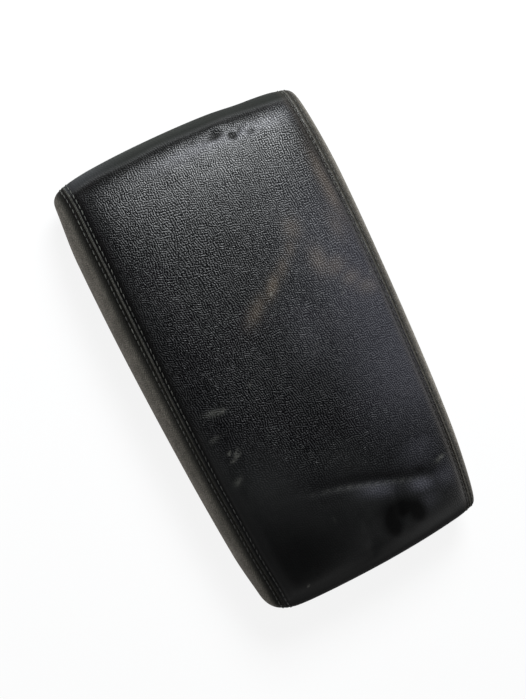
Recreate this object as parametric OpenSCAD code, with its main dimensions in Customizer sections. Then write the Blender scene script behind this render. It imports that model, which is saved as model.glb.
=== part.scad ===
// Padded car centre armrest: a sewn leather cover over moulded foam on a plastic carrier,
// closed below by a screwed lower cover, hinged to the console at the rear (+Y)
// and latched by a finger lever at the front (-Y). All sizes are in millimetres.

/* [Cover outline] */
// Length of the padded lid at its widest level
cover_length = 316; // [290:1:340]
// Half width of the padded lid, before taper and bow
half_width_mid = 84.5; // [78:0.5:92]
// How much wider each side is at the rear end than at the middle
side_taper = 5.2; // [2:0.1:7]
// How far each long side bows out at the middle
side_bow = 5; // [2:0.1:7]
// How far the rear end bows out at the middle
rear_bow = 6.7; // [4:0.1:9]
// How far the front end bows out at the middle
front_bow = 4; // [2:0.1:6]
// Corner radius in plan, at the widest level
corner_r = 20; // [19:0.5:24]

/* [Cover section] */
// Height of the top of the pad
cover_top = 56; // [50:0.5:64]
// Height of the folded lower edge of the leather
hem_z = 8; // [7.8:0.1:9]
// Height of the widest level of the sides
widest_z = 24; // [20:1:28]
// How far the lower edge tucks in under the widest level
tuck = 6; // [4:0.5:8]
// Extra crown of the top, across its width
crown = 1.6; // [0.5:0.1:3]
// Squareness of the section across the pad
side_squareness = 5.5; // [4.5:0.1:6.5]
// Squareness of the long section at the rear roll
rear_squareness = 4.6; // [4:0.1:6]
// Squareness of the long section at the front roll
front_squareness = 5.6; // [4.5:0.1:6.5]

/* [Leather] */
// Thickness of the leather
leather_t = 1.3; // [1:0.1:1.6]
// Where the two long seams run, as a share of the way round the section
seam_share = 0.497; // [0.44:0.001:0.54]
// Depth of the valley in which each seam lies
seam_valley = 0.8; // [0.4:0.1:1.2]
// Width of the hem that is turned under the carrier
hem_w = 12; // [11:0.5:13]
// Clearance between the leather and the foam, and between the foam and the carrier
soft_gap = 0.3; // [0.2:0.05:0.5]

/* [Carrier] */
// Thickness of the staple flange
flange_t = 3; // [2.5:0.5:3.5]
// Width of the staple flange
flange_w = 13.5; // [13:0.5:14.5]
// Wall thickness of the raised middle of the carrier
carrier_wall = 2.5; // [2:0.1:3]
// Height of the carrier's ceiling, over the hinge and latch
ceiling_z = 24; // [23.5:0.5:27]
// Distance of the first cross rib behind the latch's back wall
rib_start = 12; // [10:1:20]
// Distance of the last cross rib in front of the hinge leaves
rib_end = 8; // [6:1:14]
// Depth of the carrier's stiffening ribs
rib_depth = 5; // [3:0.5:6]
// Thickness of the carrier's stiffening ribs
rib_t = 1.8; // [1.4:0.1:2.4]
// Number of cross ribs
cross_ribs = 5; // [3:1:7]
// Distance of the two long ribs from the middle
long_rib_x = 30; // [24:1:34]

/* [Lower cover] */
// Wall thickness of the lower cover
tray_t = 2.2; // [1.8:0.1:2.4]
// Height of the lower cover's underside above what the armrest rests on
tray_z = 3; // [2.8:0.1:3.2]
// How far the lower cover lies inside the folded edge of the leather
tray_inset = 7; // [6.5:0.5:8]
// Outer diameter of each screw well
well_d = 13; // [12:0.5:14]
// Distance of the frame groove inside the edge of the underside
groove_inset = 30; // [26:1:34]
// Distance of the frame groove from the latch's slot and the hinge's pocket
groove_start = 14; // [12:1:22]
// Depth of the shallow frame groove in the underside
groove_depth = 0.7; // [0.4:0.1:1]

/* [Hinge] */
// Distance of the hinge axis from the rear end of the pad
hinge_inset = 9; // [8.5:0.5:11]
// Radius of the hinge knuckles
knuckle_r = 3.5; // [3.2:0.1:3.6]
// Radius of the hinge pin
hinge_pin_r = 2; // [1.6:0.1:2.2]
// Thickness of the two hinge leaves
leaf_t = 2; // [1.6:0.1:2.1]
// Length of the rolled hinge along its axis
hinge_w = 110; // [100:1:116]
// Width of the leaf that is fixed to the lid
lid_leaf_w = 100; // [92:1:102]
// How far both leaves reach forward from the axis
leaf_reach = 37; // [35:0.5:38]
// Width of the console leaf over its bolt ears
console_leaf_w = 130; // [128:1:132]
// Spacing of the console bolts across the armrest
bolt_spacing_x = 116; // [114:0.5:118]
// Spacing of the console bolts along the armrest
bolt_spacing_y = 20; // [16:0.5:22]
// Metal in front of and behind the console bolts' middles
bolt_ear = 6; // [5:0.5:7]
// Radius of the console bolt holes
bolt_hole_r = 2.75; // [2.2:0.05:3]

/* [Latch] */
// Distance of the latch pivot from the front end of the pad
latch_inset = 31.5; // [31:0.5:32.5]
// Height of the latch pivot
latch_z = 17; // [16.5:0.1:17.2]
// Radius of the latch pivot pin
latch_pin_r = 2; // [1.5:0.1:2.2]
// Radius of the lever's hub
latch_hub_r = 4; // [3.6:0.1:4.1]
// Width of the finger paddle
paddle_w = 60; // [50:1:64]
// How far the paddle's front edge lies inside the front end of the pad
paddle_inset = 8; // [7.5:0.5:11]
// Thickness of the lever's paddle and web
lever_t = 2; // [1.6:0.1:2.2]
// Distance of the paddle's root ribs inside its ends
paddle_rib_in = 14; // [10:1:18]
// How far the paddle's root ribs reach forward
paddle_rib_run = 7; // [5:0.5:9]
// Height of the paddle's root ribs
paddle_rib_rise = 5; // [3:0.5:5.5]
// Clearance of the lower cover's notch on each side of the paddle
paddle_gap = 2; // [1.5:0.5:3]
// Radius of the housing's cheeks around the pivot pin
cheek_r = 4.6; // [4.2:0.1:4.8]
// How far the housing's plate reaches in front of the pivot
plate_lead = 5; // [4:0.5:6]
// How far the housing's plate reaches behind the slot
plate_tail = 6; // [4:0.5:7]
// Length of the latch spring's leg that bears on the housing
spring_leg = 7; // [5:0.5:7.5]
// Width of the hook
hook_w = 18; // [14:1:22]
// Wire diameter of the latch return spring
spring_wire = 0.9; // [0.7:0.1:1]
// Number of turns of the latch return spring
spring_turns = 5; // [3:1:5]

/* [Small parts] */
// Radius of each rubber stop
stop_r = 6; // [5:0.5:7]
// Shank radius of the self-tapping screws of the lower cover
cover_screw_r = 1.95; // [1.6:0.05:2.1]
// Shank radius of the countersunk hinge screws
hinge_screw_r = 2; // [1.6:0.05:2.2]
// Crown length of a staple
staple_w = 10; // [8:0.5:12]
// Number of staples along each long side
side_staples = 11; // [7:1:13]
// Number of staples along each end
end_staples = 6; // [4:1:8]
// Distance of the staples from the lower cover's wall
staple_gap = 1.8; // [1.6:0.1:2]

/* [Hidden] */

half_length = cover_length / 2;
hinge_y = half_length - hinge_inset;
latch_y = half_length - latch_inset;
paddle_reach = half_length - paddle_inset;
run_fit = 0.05;         // radial running clearance of a pin in its knuckle or hub
seat_fit = 0.02;        // radial clearance of a pin in the part that holds it
gap = 0.5;              // clearance beside moving parts
min_r = 1.5;            // least corner radius of an inner outline
round_fn = 48;          // facets that stand for a round edge
long_steps = 40;        // stations along the cover
top_steps = 18;         // strips across the top panel
side_steps = 9;         // strips across a side panel
outline_steps = 12;     // points along each half side of a moulded outline

flange_z = hem_z + leather_t;
plateau_in = leather_t + soft_gap + flange_w;
plateau_z = ceiling_z + carrier_wall;
tray_top = tray_z + tray_t;

// leaves and pocket of the hinge
hinge_z = knuckle_r;
lid_leaf_z = leaf_t + 1;
pocket_z = lid_leaf_z + leaf_t;
pocket_top = pocket_z + tray_t;
leaf_front = hinge_y - leaf_reach;
pocket_margin = 1;
bolt_y = hinge_y - 21;
knuckles = 5;
knuckle_w = hinge_w / knuckles;
knuckle_gap = 0.3;
hinge_screw_x = 38;
hinge_screw_ys = [leaf_front + 4.5, leaf_front + 14.5];
plate_t = 2;
boss_r = 4.5;
pin_head_r = hinge_pin_r + 0.9;
pin_head_t = 1;

// screw wells of the lower cover
well_top = tray_z + 6;
well_floor = 2;
screw_head_r = 4;
screw_head_t = 2.6;
cover_screw_shares = [-0.58, -0.05, 0.48];

// latch
latch_plate_t = 2.4;
cheek_t = 3;
cheek_in = paddle_w / 2 + 1;
hook_drop = 11.2;
nose_reach = 4.2;
nose_t = 2.8;
web_front = latch_y + 5.3;
paddle_z = 0.8;
lever_side_w = 7;       // end of the paddle beside the web, where the spring leg comes down
slot_front = latch_y - 0.5;
slot_back = latch_y - 11;
slot_w = hook_w + 8;
spring_r = latch_pin_r + 1;
latch_screw_x = 24;
latch_screw_y = latch_y - 11.5;

// Outline of the pad
// share of the full width reached at t (0 middle, 1 edge) of a section of squareness n
function section_x(t, n) =
    let (a = 90 * (1 - abs(t)))
    cos(a) * pow(pow(cos(a), n) + pow(sin(a), n), -1 / n);
// share of the full height left at t of the same section
function section_z(t, n) =
    let (a = 90 * (1 - abs(t)))
    sin(a) * pow(pow(cos(a), n) + pow(sin(a), n), -1 / n);
function corner(in) = max(min_r, corner_r - in);
function side_line(y, in) =
    half_width_mid + side_taper * y / half_length + side_bow * (1 - pow(y / half_length, 2)) - in;
// half width at y, with the rounded corners, set in by in
function half_width(y, in) =
    let (r = corner(in), d = min(r, max(0, abs(y) - (half_length - in - r))))
    side_line(y, in) - r + sqrt(r * r - d * d);
function end_side(end, in) = side_line(end * half_length, in);
// half length at x, with the rounded corners, set in by in
function half_length_at(x, end, in) =
    let (r = corner(in), w = end_side(end, in), d = min(r, max(0, abs(x) - (w - r))),
         bow = end > 0 ? rear_bow : front_bow)
    half_length - in - bow * pow(x / w, 2) - r + sqrt(r * r - d * d);
function corner_cut(in) = corner(in) * (1 - sqrt(0.5));
// place in plan, at the widest level, of the point that lies u along and v across
function plan_point(u, v, in) =
    let (end = u < 0 ? -1 : 1,
         n = end > 0 ? rear_squareness : front_squareness,
         bow = end > 0 ? rear_bow : front_bow,
         su = section_x(u, n),
         sv = section_x(v, side_squareness),
         corner_y = half_length - in - bow - corner_cut(in),
         corner_x = end_side(end, in) - corner_cut(in))
    [sign(v) * sv * half_width(end * su * corner_y, in),
     end * su * half_length_at(sv * corner_x, end, in)];
function tucked(p, depth) = [p[0] * (1 - depth / half_width_mid), p[1] * (1 - depth / half_length)];
// point of the padded surface, set in by in; u runs front to rear and v left to right, -1 to 1
function pad_point(u, v, in) =
    let (n = u < 0 ? front_squareness : rear_squareness,
         cu = section_z(u, n),
         cv = section_z(v, side_squareness),
         low = hem_z + in,
         across = section_x(v, side_squareness),
         z = low + (cover_top - in - low) * cu * cv - crown * across * across * cu * cv,
         fall = min(1, max(0, (widest_z - z) / (widest_z - low))),
         p = tucked(plan_point(u, v, in), tuck * fall * fall))
    [p[0], p[1], z];
// the same point, sunk where a seam runs
function sewn_point(u, v, in) =
    let (p = pad_point(u, v, in),
         deep = seam_valley * (abs(abs(v) - seam_share) < 0.001 ? 1 : 0) * section_z(u, 4))
    [p[0] - sign(v) * deep / 2, p[1], p[2] - deep];
// lower edge of the leather, set in by in
function rim_point(u, v, in) = tucked(plan_point(u, v, in), tuck);
function around(in) = concat(
    [for (i = [-outline_steps : outline_steps - 1]) rim_point(i / outline_steps, 1, in)],
    [for (i = [-outline_steps : outline_steps - 1]) rim_point(1, -i / outline_steps, in)],
    [for (i = [-outline_steps : outline_steps - 1]) rim_point(-i / outline_steps, -1, in)],
    [for (i = [-outline_steps : outline_steps - 1]) rim_point(-1, i / outline_steps, in)]);
// half width of a moulded wall at y, set in by in
function wall_x(y, in) = half_width(y, in) * (1 - tuck / half_width_mid);

// Solids made of a grid of points
// two triangles between points a, b, c and d, which go round a face
function quad(a, b, c, d) = [[a, b, c], [a, c, d]];
// closed sheet between an outer and an inner grid, each rows by cols
module sheet_solid(outer, inner) {
    rows = len(outer);
    cols = len(outer[0]);
    n = rows * cols;
    points = concat([for (r = outer) for (p = r) p], [for (r = inner) for (p = r) p]);
    faces = concat(
        [for (i = [0 : rows - 2]) for (j = [0 : cols - 2])
            for (f = quad(i * cols + j, (i + 1) * cols + j, (i + 1) * cols + j + 1, i * cols + j + 1)) f],
        [for (i = [0 : rows - 2]) for (j = [0 : cols - 2])
            for (f = quad(n + i * cols + j, n + i * cols + j + 1,
                          n + (i + 1) * cols + j + 1, n + (i + 1) * cols + j)) f],
        [for (i = [0 : rows - 2]) for (f = quad(i * cols, n + i * cols, n + (i + 1) * cols, (i + 1) * cols)) f],
        [for (i = [0 : rows - 2]) for (f = quad((i + 1) * cols - 1, (i + 2) * cols - 1,
                                                n + (i + 2) * cols - 1, n + (i + 1) * cols - 1)) f],
        [for (j = [0 : cols - 2]) for (f = quad(j, j + 1, n + j + 1, n + j)) f],
        [for (j = [0 : cols - 2]) for (f = quad((rows - 1) * cols + j, n + (rows - 1) * cols + j,
                                                n + (rows - 1) * cols + j + 1, (rows - 1) * cols + j + 1)) f]);
    polyhedron(points, faces, convexity = 10);
}

// Leather
top_vs = [for (j = [0 : top_steps]) seam_share * (2 * j / top_steps - 1)];
us = [for (i = [0 : long_steps]) 2 * i / long_steps - 1];
function hem_row(end, in, z) = [for (v = top_vs)
    let (p = rim_point(end, v, 0)) [p[0] * (1 - hem_w / half_width_mid), p[1] - end * hem_w, z]];
function top_grid(in) = concat(
    [hem_row(-1, in, hem_z + in)],
    [for (u = us) [for (v = top_vs) sewn_point(u, v, in)]],
    [hem_row(1, in, hem_z + in)]);
module top_panel() {
    color("#26282a") sheet_solid(top_grid(0), top_grid(leather_t));
}

side_vs = [for (j = [0 : side_steps]) seam_share + (1 - seam_share) * j / side_steps];
function side_hem(u, in) =
    let (p = rim_point(u, 1, 0))
    [p[0] - hem_w, p[1] * (1 - hem_w / half_length), hem_z + in];
function side_grid(in) =
    [for (u = us) concat([for (v = side_vs) sewn_point(u, v, in)], [side_hem(u, in)])];
module side_panel_right() {
    color("#4a4844") sheet_solid(side_grid(0), side_grid(leather_t));
}
module side_panel_left() {
    color("#4a4844") mirror([1, 0, 0]) sheet_solid(side_grid(0), side_grid(leather_t));
}

// Foam
foam_vs = concat([for (j = [side_steps : -1 : 1]) -side_vs[j]], top_vs, [for (j = [1 : side_steps]) side_vs[j]]);
// going round the border of a rows by cols grid, as indexes of its points
function border(rows, cols) = concat(
    [for (i = [0 : rows - 2]) i * cols + cols - 1],
    [for (j = [0 : cols - 2]) (rows - 1) * cols + cols - 1 - j],
    [for (i = [0 : rows - 2]) (rows - 1 - i) * cols],
    [for (j = [0 : cols - 2]) j]);
foam_in = leather_t + soft_gap;
module foam_pad() {
    rows = len(us);
    cols = len(foam_vs);
    grid = [for (u = us) for (v = foam_vs)
        let (p = sewn_point(u, v, foam_in)) [p[0], p[1], max(p[2], foam_z)]];
    edge = border(rows, cols);
    m = len(edge);
    n = rows * cols;
    // the hollow over the carrier's raised middle follows the pad's own outline
    hollow = [for (k = edge)
        let (u = us[floor(k / cols)], v = foam_vs[k % cols])
        rim_point(u, v, plateau_in - soft_gap)];
    points = concat(grid,
        [for (p = hollow) [p[0], p[1], foam_z]],
        [for (p = hollow) [p[0], p[1], plateau_z + soft_gap]]);
    faces = concat(
        [for (i = [0 : rows - 2]) for (j = [0 : cols - 2])
            for (f = quad(i * cols + j, (i + 1) * cols + j, (i + 1) * cols + j + 1, i * cols + j + 1)) f],
        [for (k = [0 : m - 1]) let (q = (k + 1) % m)
            for (f = quad(edge[k], edge[q], n + q, n + k)) f],
        [for (k = [0 : m - 1]) let (q = (k + 1) % m)
            for (f = quad(n + k, n + q, n + m + q, n + m + k)) f],
        [[for (k = [0 : m - 1]) n + m + k]]);
    color("#d8c48a") polyhedron(points, faces, convexity = 10);
}
foam_z = flange_z + flange_t + soft_gap;

// Carrier
module plate_of(in, z, h) {
    translate([0, 0, z]) linear_extrude(h) polygon(around(in));
}
cavity_in = plateau_in + carrier_wall;
module at_cover_screws() {
    for (side = [-1, 1]) for (share = cover_screw_shares) {
        y = share * half_length;
        translate([side * (wall_x(y, cavity_in) - well_d / 2), y, 0]) children();
    }
}
module at_hinge_screws() {
    for (side = [-1, 1]) for (y = hinge_screw_ys) translate([side * hinge_screw_x, y, 0]) children();
}
module at_latch_screws() {
    for (side = [-1, 1]) translate([side * latch_screw_x, -latch_screw_y, 0]) children();
}
rib_front = -slot_back + rib_start;
rib_rear = leaf_front - rib_end;
module carrier_ribs() {
    for (side = [-1, 1])
        translate([side * long_rib_x - rib_t / 2, rib_front, ceiling_z - rib_depth])
            cube([rib_t, rib_rear - rib_front, rib_depth + 1]);
    for (i = [0 : cross_ribs - 1]) {
        y = rib_front + (rib_rear - rib_front) * i / (cross_ribs - 1);
        reach = wall_x(y, cavity_in - carrier_wall / 2);
        translate([-reach, y - rib_t / 2, ceiling_z - rib_depth]) cube([2 * reach, rib_t, rib_depth + 1]);
    }
}
module carrier() {
    color("#3b3d40") difference() {
        union() {
            difference() {
                union() {
                    plate_of(leather_t + seat_gap, flange_z, flange_t);
                    plate_of(plateau_in, flange_z, plateau_z - flange_z);
                }
                plate_of(cavity_in, flange_z - 1, ceiling_z - flange_z + 1);
            }
            carrier_ribs();
            at_cover_screws() translate([0, 0, well_top])
                cylinder(r = boss_r, h = ceiling_z - well_top + 1, $fn = round_fn);
            at_hinge_screws() translate([0, 0, pocket_top + plate_t])
                cylinder(r = boss_r, h = ceiling_z - pocket_top - plate_t + 1, $fn = round_fn);
        }
        at_cover_screws() translate([0, 0, well_top - 1])
            cylinder(r = cover_screw_r + run_fit, h = cover_screw_l - 1, $fn = round_fn);
        at_hinge_screws() translate([0, 0, pocket_top + plate_t - 1])
            cylinder(r = hinge_screw_r + run_fit, h = hinge_screw_top - pocket_top - plate_t + 2, $fn = round_fn);
        at_latch_screws() translate([0, 0, ceiling_z - 1])
            cylinder(r = cover_screw_r + run_fit, h = carrier_wall + 2, $fn = round_fn);
    }
}
seat_gap = 0.2;
cover_screw_l = 14;
hinge_screw_top = 20;

// Lower cover
module tray_pocket() {
    x = console_leaf_w / 2 + pocket_margin + tray_t;
    intersection() {
        translate([-x, leaf_front - pocket_margin - tray_t, tray_z])
            cube([2 * x, half_length, pocket_top - tray_z]);
        plate_of(tray_inset, tray_z, hem_z - tray_z);
    }
}
module tray_groove() {
    groove_w = 2 * groove_depth;
    y0 = -slot_back + groove_start;
    y1 = leaf_front - groove_start;
    x = wall_x(y0, tray_inset + groove_inset);
    translate([0, 0, tray_z - 1]) linear_extrude(groove_depth + 1) difference() {
        translate([-x, y0]) square([2 * x, y1 - y0]);
        translate([-x + groove_w, y0 + groove_w]) square([2 * (x - groove_w), y1 - y0 - 2 * groove_w]);
    }
}
module lower_cover() {
    color("#303236") difference() {
        union() {
            plate_of(tray_inset, tray_z, tray_t);
            difference() {
                plate_of(tray_inset, tray_z, hem_z - tray_z);
                plate_of(tray_inset + tray_t, tray_z - 1, hem_z - tray_z + 2);
            }
            tray_pocket();
            at_cover_screws() translate([0, 0, tray_z]) cylinder(d = well_d, h = well_top - tray_z, $fn = round_fn);
        }
        // hinge pocket, open to the rear
        translate([-console_leaf_w / 2 - pocket_margin, leaf_front - pocket_margin, tray_z - 1])
            cube([console_leaf_w + 2 * pocket_margin, half_length, pocket_z - tray_z + 1]);
        // notch for the paddle, open to the front, and slot for the striker
        translate([-paddle_w / 2 - paddle_gap, -half_length, tray_z - 1])
            cube([paddle_w + 2 * paddle_gap, half_length - web_front + lever_t + 1, hem_z]);
        translate([-slot_w / 2, -slot_front, tray_z - 1]) cube([slot_w, slot_front - slot_back, hem_z]);
        at_cover_screws() {
            translate([0, 0, tray_z - 1])
                cylinder(r = screw_head_r + 0.6, h = well_top - well_floor - tray_z + 1, $fn = round_fn);
            translate([0, 0, tray_z]) cylinder(r = cover_screw_r + 0.3, h = well_top, $fn = round_fn);
        }
        at_hinge_screws() translate([0, 0, tray_z])
            cylinder(r = hinge_screw_r + 0.3, h = pocket_top, $fn = round_fn);
        at_stops() translate([0, 0, tray_z - 1]) cylinder(r = stop_neck_r + run_fit, h = hem_z, $fn = round_fn);
        tray_groove();
    }
}

// Fasteners
module pan_screw(r, head_r, head_t, l) {
    // stands on its head at z = 0, with the shank upwards
    difference() {
        union() {
            cylinder(r = head_r, h = head_t, $fn = round_fn);
            cylinder(r = r, h = head_t + l - r, $fn = round_fn);
            translate([0, 0, head_t + l - r]) cylinder(r1 = r, r2 = r * 0.35, h = r, $fn = round_fn);
        }
        // cross recess
        for (a = [0, 90]) rotate([0, 0, a])
            translate([-head_r * 0.55, -head_r * 0.12, -1]) cube([head_r * 1.1, head_r * 0.24, 1 + head_t * 0.55]);
    }
}
module cover_screws() {
    color("#8d9094") at_cover_screws() translate([0, 0, well_top - well_floor - screw_head_t])
        pan_screw(cover_screw_r, screw_head_r, screw_head_t, cover_screw_l - 2);
}
module latch_screws() {
    head_t = 2.2;
    color("#8d9094") at_latch_screws() translate([0, 0, ceiling_z - latch_plate_t - head_t])
        pan_screw(cover_screw_r, 3.5, head_t, latch_plate_t + carrier_wall - 0.2);
}
recess_w = 4;
recess_slot = 0.8;
sink_t = 1.8;
module hinge_screws() {
    color("#8d9094") at_hinge_screws() translate([0, 0, lid_leaf_z]) difference() {
        union() {
            cylinder(r1 = hinge_screw_r + sink_t, r2 = hinge_screw_r, h = sink_t, $fn = round_fn);
            cylinder(r = hinge_screw_r, h = hinge_screw_top - 1 - lid_leaf_z, $fn = round_fn);
        }
        for (a = [0, 90]) rotate([0, 0, a])
            translate([-recess_w / 2, -recess_slot / 2, -1]) cube([recess_w, recess_slot, 2]);
    }
}
staple_wire = 0.6;
staple_leg = 3.4;
staple_in = tray_inset + tray_t + staple_gap;
module staple() {
    translate([-staple_w / 2, -staple_wire / 2, hem_z - staple_wire]) cube([staple_w, staple_wire, staple_wire]);
    for (x = [-staple_w / 2, staple_w / 2 - staple_wire])
        translate([x, -staple_wire / 2, hem_z - staple_wire / 2])
            cube([staple_wire, staple_wire, staple_leg]);
}
function end_at(x, end) = half_length_at(x, end, staple_in) * (1 - tuck / half_length);
module staples() {
    color("#b9bcc0") {
        for (side = [-1, 1]) for (i = [0 : side_staples - 1]) {
            y = half_length * 1.6 * (i / (side_staples - 1) - 0.5);
            turn = atan((wall_x(y + 1, staple_in) - wall_x(y - 1, staple_in)) / 2);
            translate([side * (wall_x(y, staple_in)), y, 0]) rotate([0, 0, 90 - side * turn]) staple();
        }
        for (end = [-1, 1]) for (i = [0 : end_staples - 1]) {
            x = half_width_mid * 1.36 * (i / (end_staples - 1) - 0.5);
            turn = end * atan((end_at(x + 1, end) - end_at(x - 1, end)) / 2);
            translate([x, end * end_at(x, end), 0]) rotate([0, 0, turn]) staple();
        }
    }
}

// Rubber stops
stop_neck_r = 2.6;
stop_margin = 4;
function stop_place(y) = [wall_x(y, tray_inset) - tray_t - stop_r - stop_margin, y];
stops_front_at = stop_place(-(slot_back - 0.5));
stops_rear_at = stop_place(leaf_front - pocket_margin - tray_t - stop_r - stop_margin);
module at_stop(side, p) {
    translate([side * p[0], p[1], 0]) children();
}
module at_stops() {
    for (side = [-1, 1]) {
        at_stop(side, stops_front_at) children();
        at_stop(side, stops_rear_at) children();
    }
}
module rubber_stop(side, p) {
    chamfer = 0.8;
    barb_r = stop_neck_r + 1;
    color("#1d1d1d") at_stop(side, p) rotate_extrude($fn = round_fn) polygon([
        [0, 0], [stop_r - chamfer, 0], [stop_r, chamfer], [stop_r, tray_z],
        [stop_neck_r, tray_z], [stop_neck_r, tray_top], [barb_r, tray_top],
        [barb_r, tray_top + 0.8], [stop_neck_r * 0.7, tray_top + 3], [0, tray_top + 3]]);
}

// Hinge
// rolls of one leaf: those whose number has the given parity
module knuckle_set(odd, r, h_less) {
    for (i = [0 : knuckles - 1]) if (i % 2 == odd)
        translate([-hinge_w / 2 + i * knuckle_w + h_less, hinge_y, hinge_z]) rotate([0, 90, 0])
            cylinder(r = r, h = knuckle_w - 2 * h_less, $fn = round_fn);
}
// room for the other leaf's rolls in a leaf's rear edge
module knuckle_room(odd, z) {
    room = knuckle_r + gap;
    for (i = [0 : knuckles - 1]) if (i % 2 == odd)
        translate([-hinge_w / 2 + i * knuckle_w, hinge_y - room, z - 1]) cube([knuckle_w, 2 * room, leaf_t + 2]);
}
module hinge_bore(r) {
    translate([-hinge_w, hinge_y, hinge_z]) rotate([0, 90, 0]) cylinder(r = r, h = 2 * hinge_w, $fn = round_fn);
}
module hinge_console_leaf() {
    color("#6f7276") difference() {
        union() {
            translate([-hinge_w / 2, leaf_front, 0]) cube([hinge_w, hinge_y - leaf_front, leaf_t]);
            translate([-console_leaf_w / 2, bolt_y - bolt_spacing_y / 2 - bolt_ear, 0])
                cube([console_leaf_w, bolt_spacing_y + 2 * bolt_ear, leaf_t]);
            knuckle_set(0, knuckle_r, knuckle_gap / 2);
        }
        knuckle_room(1, 0);
        hinge_bore(hinge_pin_r + seat_fit);
        for (sx = [-1, 1]) for (sy = [-1, 1])
            translate([sx * bolt_spacing_x / 2, bolt_y + sy * bolt_spacing_y / 2, -1])
                cylinder(r = bolt_hole_r, h = leaf_t + 2, $fn = round_fn);
        // holes under the lid leaf's screws, for a driver
        at_hinge_screws() translate([0, 0, -1]) cylinder(r = hinge_screw_r + sink_t + 0.4, h = leaf_t + 2, $fn = round_fn);
    }
}
module hinge_lid_leaf() {
    color("#6f7276") difference() {
        union() {
            translate([-lid_leaf_w / 2, leaf_front, lid_leaf_z])
                cube([lid_leaf_w, hinge_y - leaf_front, leaf_t]);
            knuckle_set(1, knuckle_r, knuckle_gap / 2);
        }
        knuckle_room(0, lid_leaf_z);
        hinge_bore(hinge_pin_r + run_fit);
        at_hinge_screws() translate([0, 0, lid_leaf_z]) {
            translate([0, 0, -1]) cylinder(r = hinge_screw_r + run_fit, h = leaf_t + 2, $fn = round_fn);
            translate([0, 0, -0.01]) cylinder(r1 = hinge_screw_r + sink_t + run_fit, r2 = hinge_screw_r + run_fit,
                h = sink_t, $fn = round_fn);
        }
    }
}
module hinge_pin() {
    l = hinge_w + 0.6;
    color("#9a9da1") translate([-l / 2, hinge_y, hinge_z]) rotate([0, 90, 0]) {
        cylinder(r = hinge_pin_r, h = l, $fn = round_fn);
        for (z = [-pin_head_t, l]) translate([0, 0, z]) cylinder(r = pin_head_r, h = pin_head_t, $fn = round_fn);
    }
}
module hinge_backing_plate() {
    margin = 6;
    x = hinge_screw_x + margin + 1;
    y0 = hinge_screw_ys[0] - margin;
    color("#7b7e82") difference() {
        translate([-x, y0, pocket_top]) cube([2 * x, hinge_screw_ys[1] + margin - 1 - y0, plate_t]);
        at_hinge_screws() translate([0, 0, pocket_top - 1])
            cylinder(r = hinge_screw_r + run_fit, h = plate_t + 2, $fn = round_fn);
    }
}

// Latch
// turns an outline drawn in the Y-Z plane into a solid between x0 and x1
module slab(x0, x1) {
    translate([x0, 0, 0]) rotate([90, 0, 90]) linear_extrude(x1 - x0) children();
}
module latch_bore(r, l) {
    translate([-l / 2, -latch_y, latch_z]) rotate([0, 90, 0]) cylinder(r = r, h = l, $fn = round_fn);
}
hub_end = paddle_w / 2 - lever_side_w;
module latch_lever() {
    x = paddle_w / 2;
    top = paddle_z + lever_t;
    lip = 1.2;
    color("#1f2022") difference() {
        union() {
            // hub
            translate([-x, -latch_y, latch_z]) rotate([0, 90, 0])
                cylinder(r = latch_hub_r, h = x + hub_end, $fn = round_fn);
            // web from the hub down to the paddle
            slab(-x, hub_end) polygon([
                [-latch_y, latch_z + latch_hub_r * 0.9], [-web_front, latch_z - 1], [-web_front, paddle_z],
                [-web_front + lever_t, paddle_z], [-web_front + lever_t, latch_z - 4],
                [-latch_y, latch_z - latch_hub_r * 0.9]]);
            // finger paddle, with its front edge thickened into a lip
            slab(-x, x) polygon([
                [-web_front + lever_t, paddle_z], [-web_front + lever_t, top],
                [-paddle_reach + 3, top], [-paddle_reach, top - 0.4],
                [-paddle_reach, paddle_z - lip * 0.5], [-paddle_reach + 2.5, paddle_z - lip * 0.5],
                [-paddle_reach + 4, paddle_z]]);
            // hook, hanging from the hub
            slab(-hook_w / 2, hook_w / 2) polygon([
                [-latch_y - 2, latch_z], [-latch_y - 2, latch_z - hook_drop],
                [-latch_y + 1.8, latch_z - hook_drop],
                [-latch_y + nose_reach, latch_z - hook_drop + nose_t * 0.6],
                [-latch_y + nose_reach, latch_z - hook_drop + nose_t],
                [-latch_y + 2, latch_z - hook_drop + nose_t], [-latch_y + 2, latch_z]]);
            // ribs under the paddle's root
            for (i = [-1 : 2 : 1]) slab(i * (x - paddle_rib_in) - 1, i * (x - paddle_rib_in) + 1) polygon([
                [-web_front, top], [-web_front, top + paddle_rib_rise],
                [-web_front - paddle_rib_run, top]]);
        }
        latch_bore(latch_pin_r + run_fit, 2 * paddle_w);
    }
}
module latch_housing() {
    plate_front = latch_y + plate_lead;
    plate_back = slot_back - plate_tail;
    under = ceiling_z - latch_plate_t;
    out = cheek_in + cheek_t;
    color("#2b2d30") difference() {
        union() {
            translate([-out, -plate_front, under]) cube([2 * out, plate_front - plate_back, latch_plate_t]);
            for (x0 = [-out, cheek_in]) {
                slab(x0, x0 + cheek_t) {
                    translate([-latch_y, latch_z]) circle(r = cheek_r, $fn = round_fn);
                    polygon([[-latch_y - cheek_r, latch_z], [-plate_front, under + 1],
                             [-plate_back, under + 1], [-latch_y + cheek_r, latch_z]]);
                }
            }
            // back wall that steadies the striker
            translate([-slot_w / 2, -slot_back, well_top]) cube([slot_w, 2, under - well_top + 1]);
        }
        latch_bore(latch_pin_r + seat_fit, 4 * paddle_w);
        at_latch_screws() translate([0, 0, under - 1])
            cylinder(r = cover_screw_r + run_fit, h = latch_plate_t + 2, $fn = round_fn);
    }
}
clip_t = 0.6;
clip_groove_r = latch_pin_r - 0.4;
pin_end = cheek_in + cheek_t;
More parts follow.
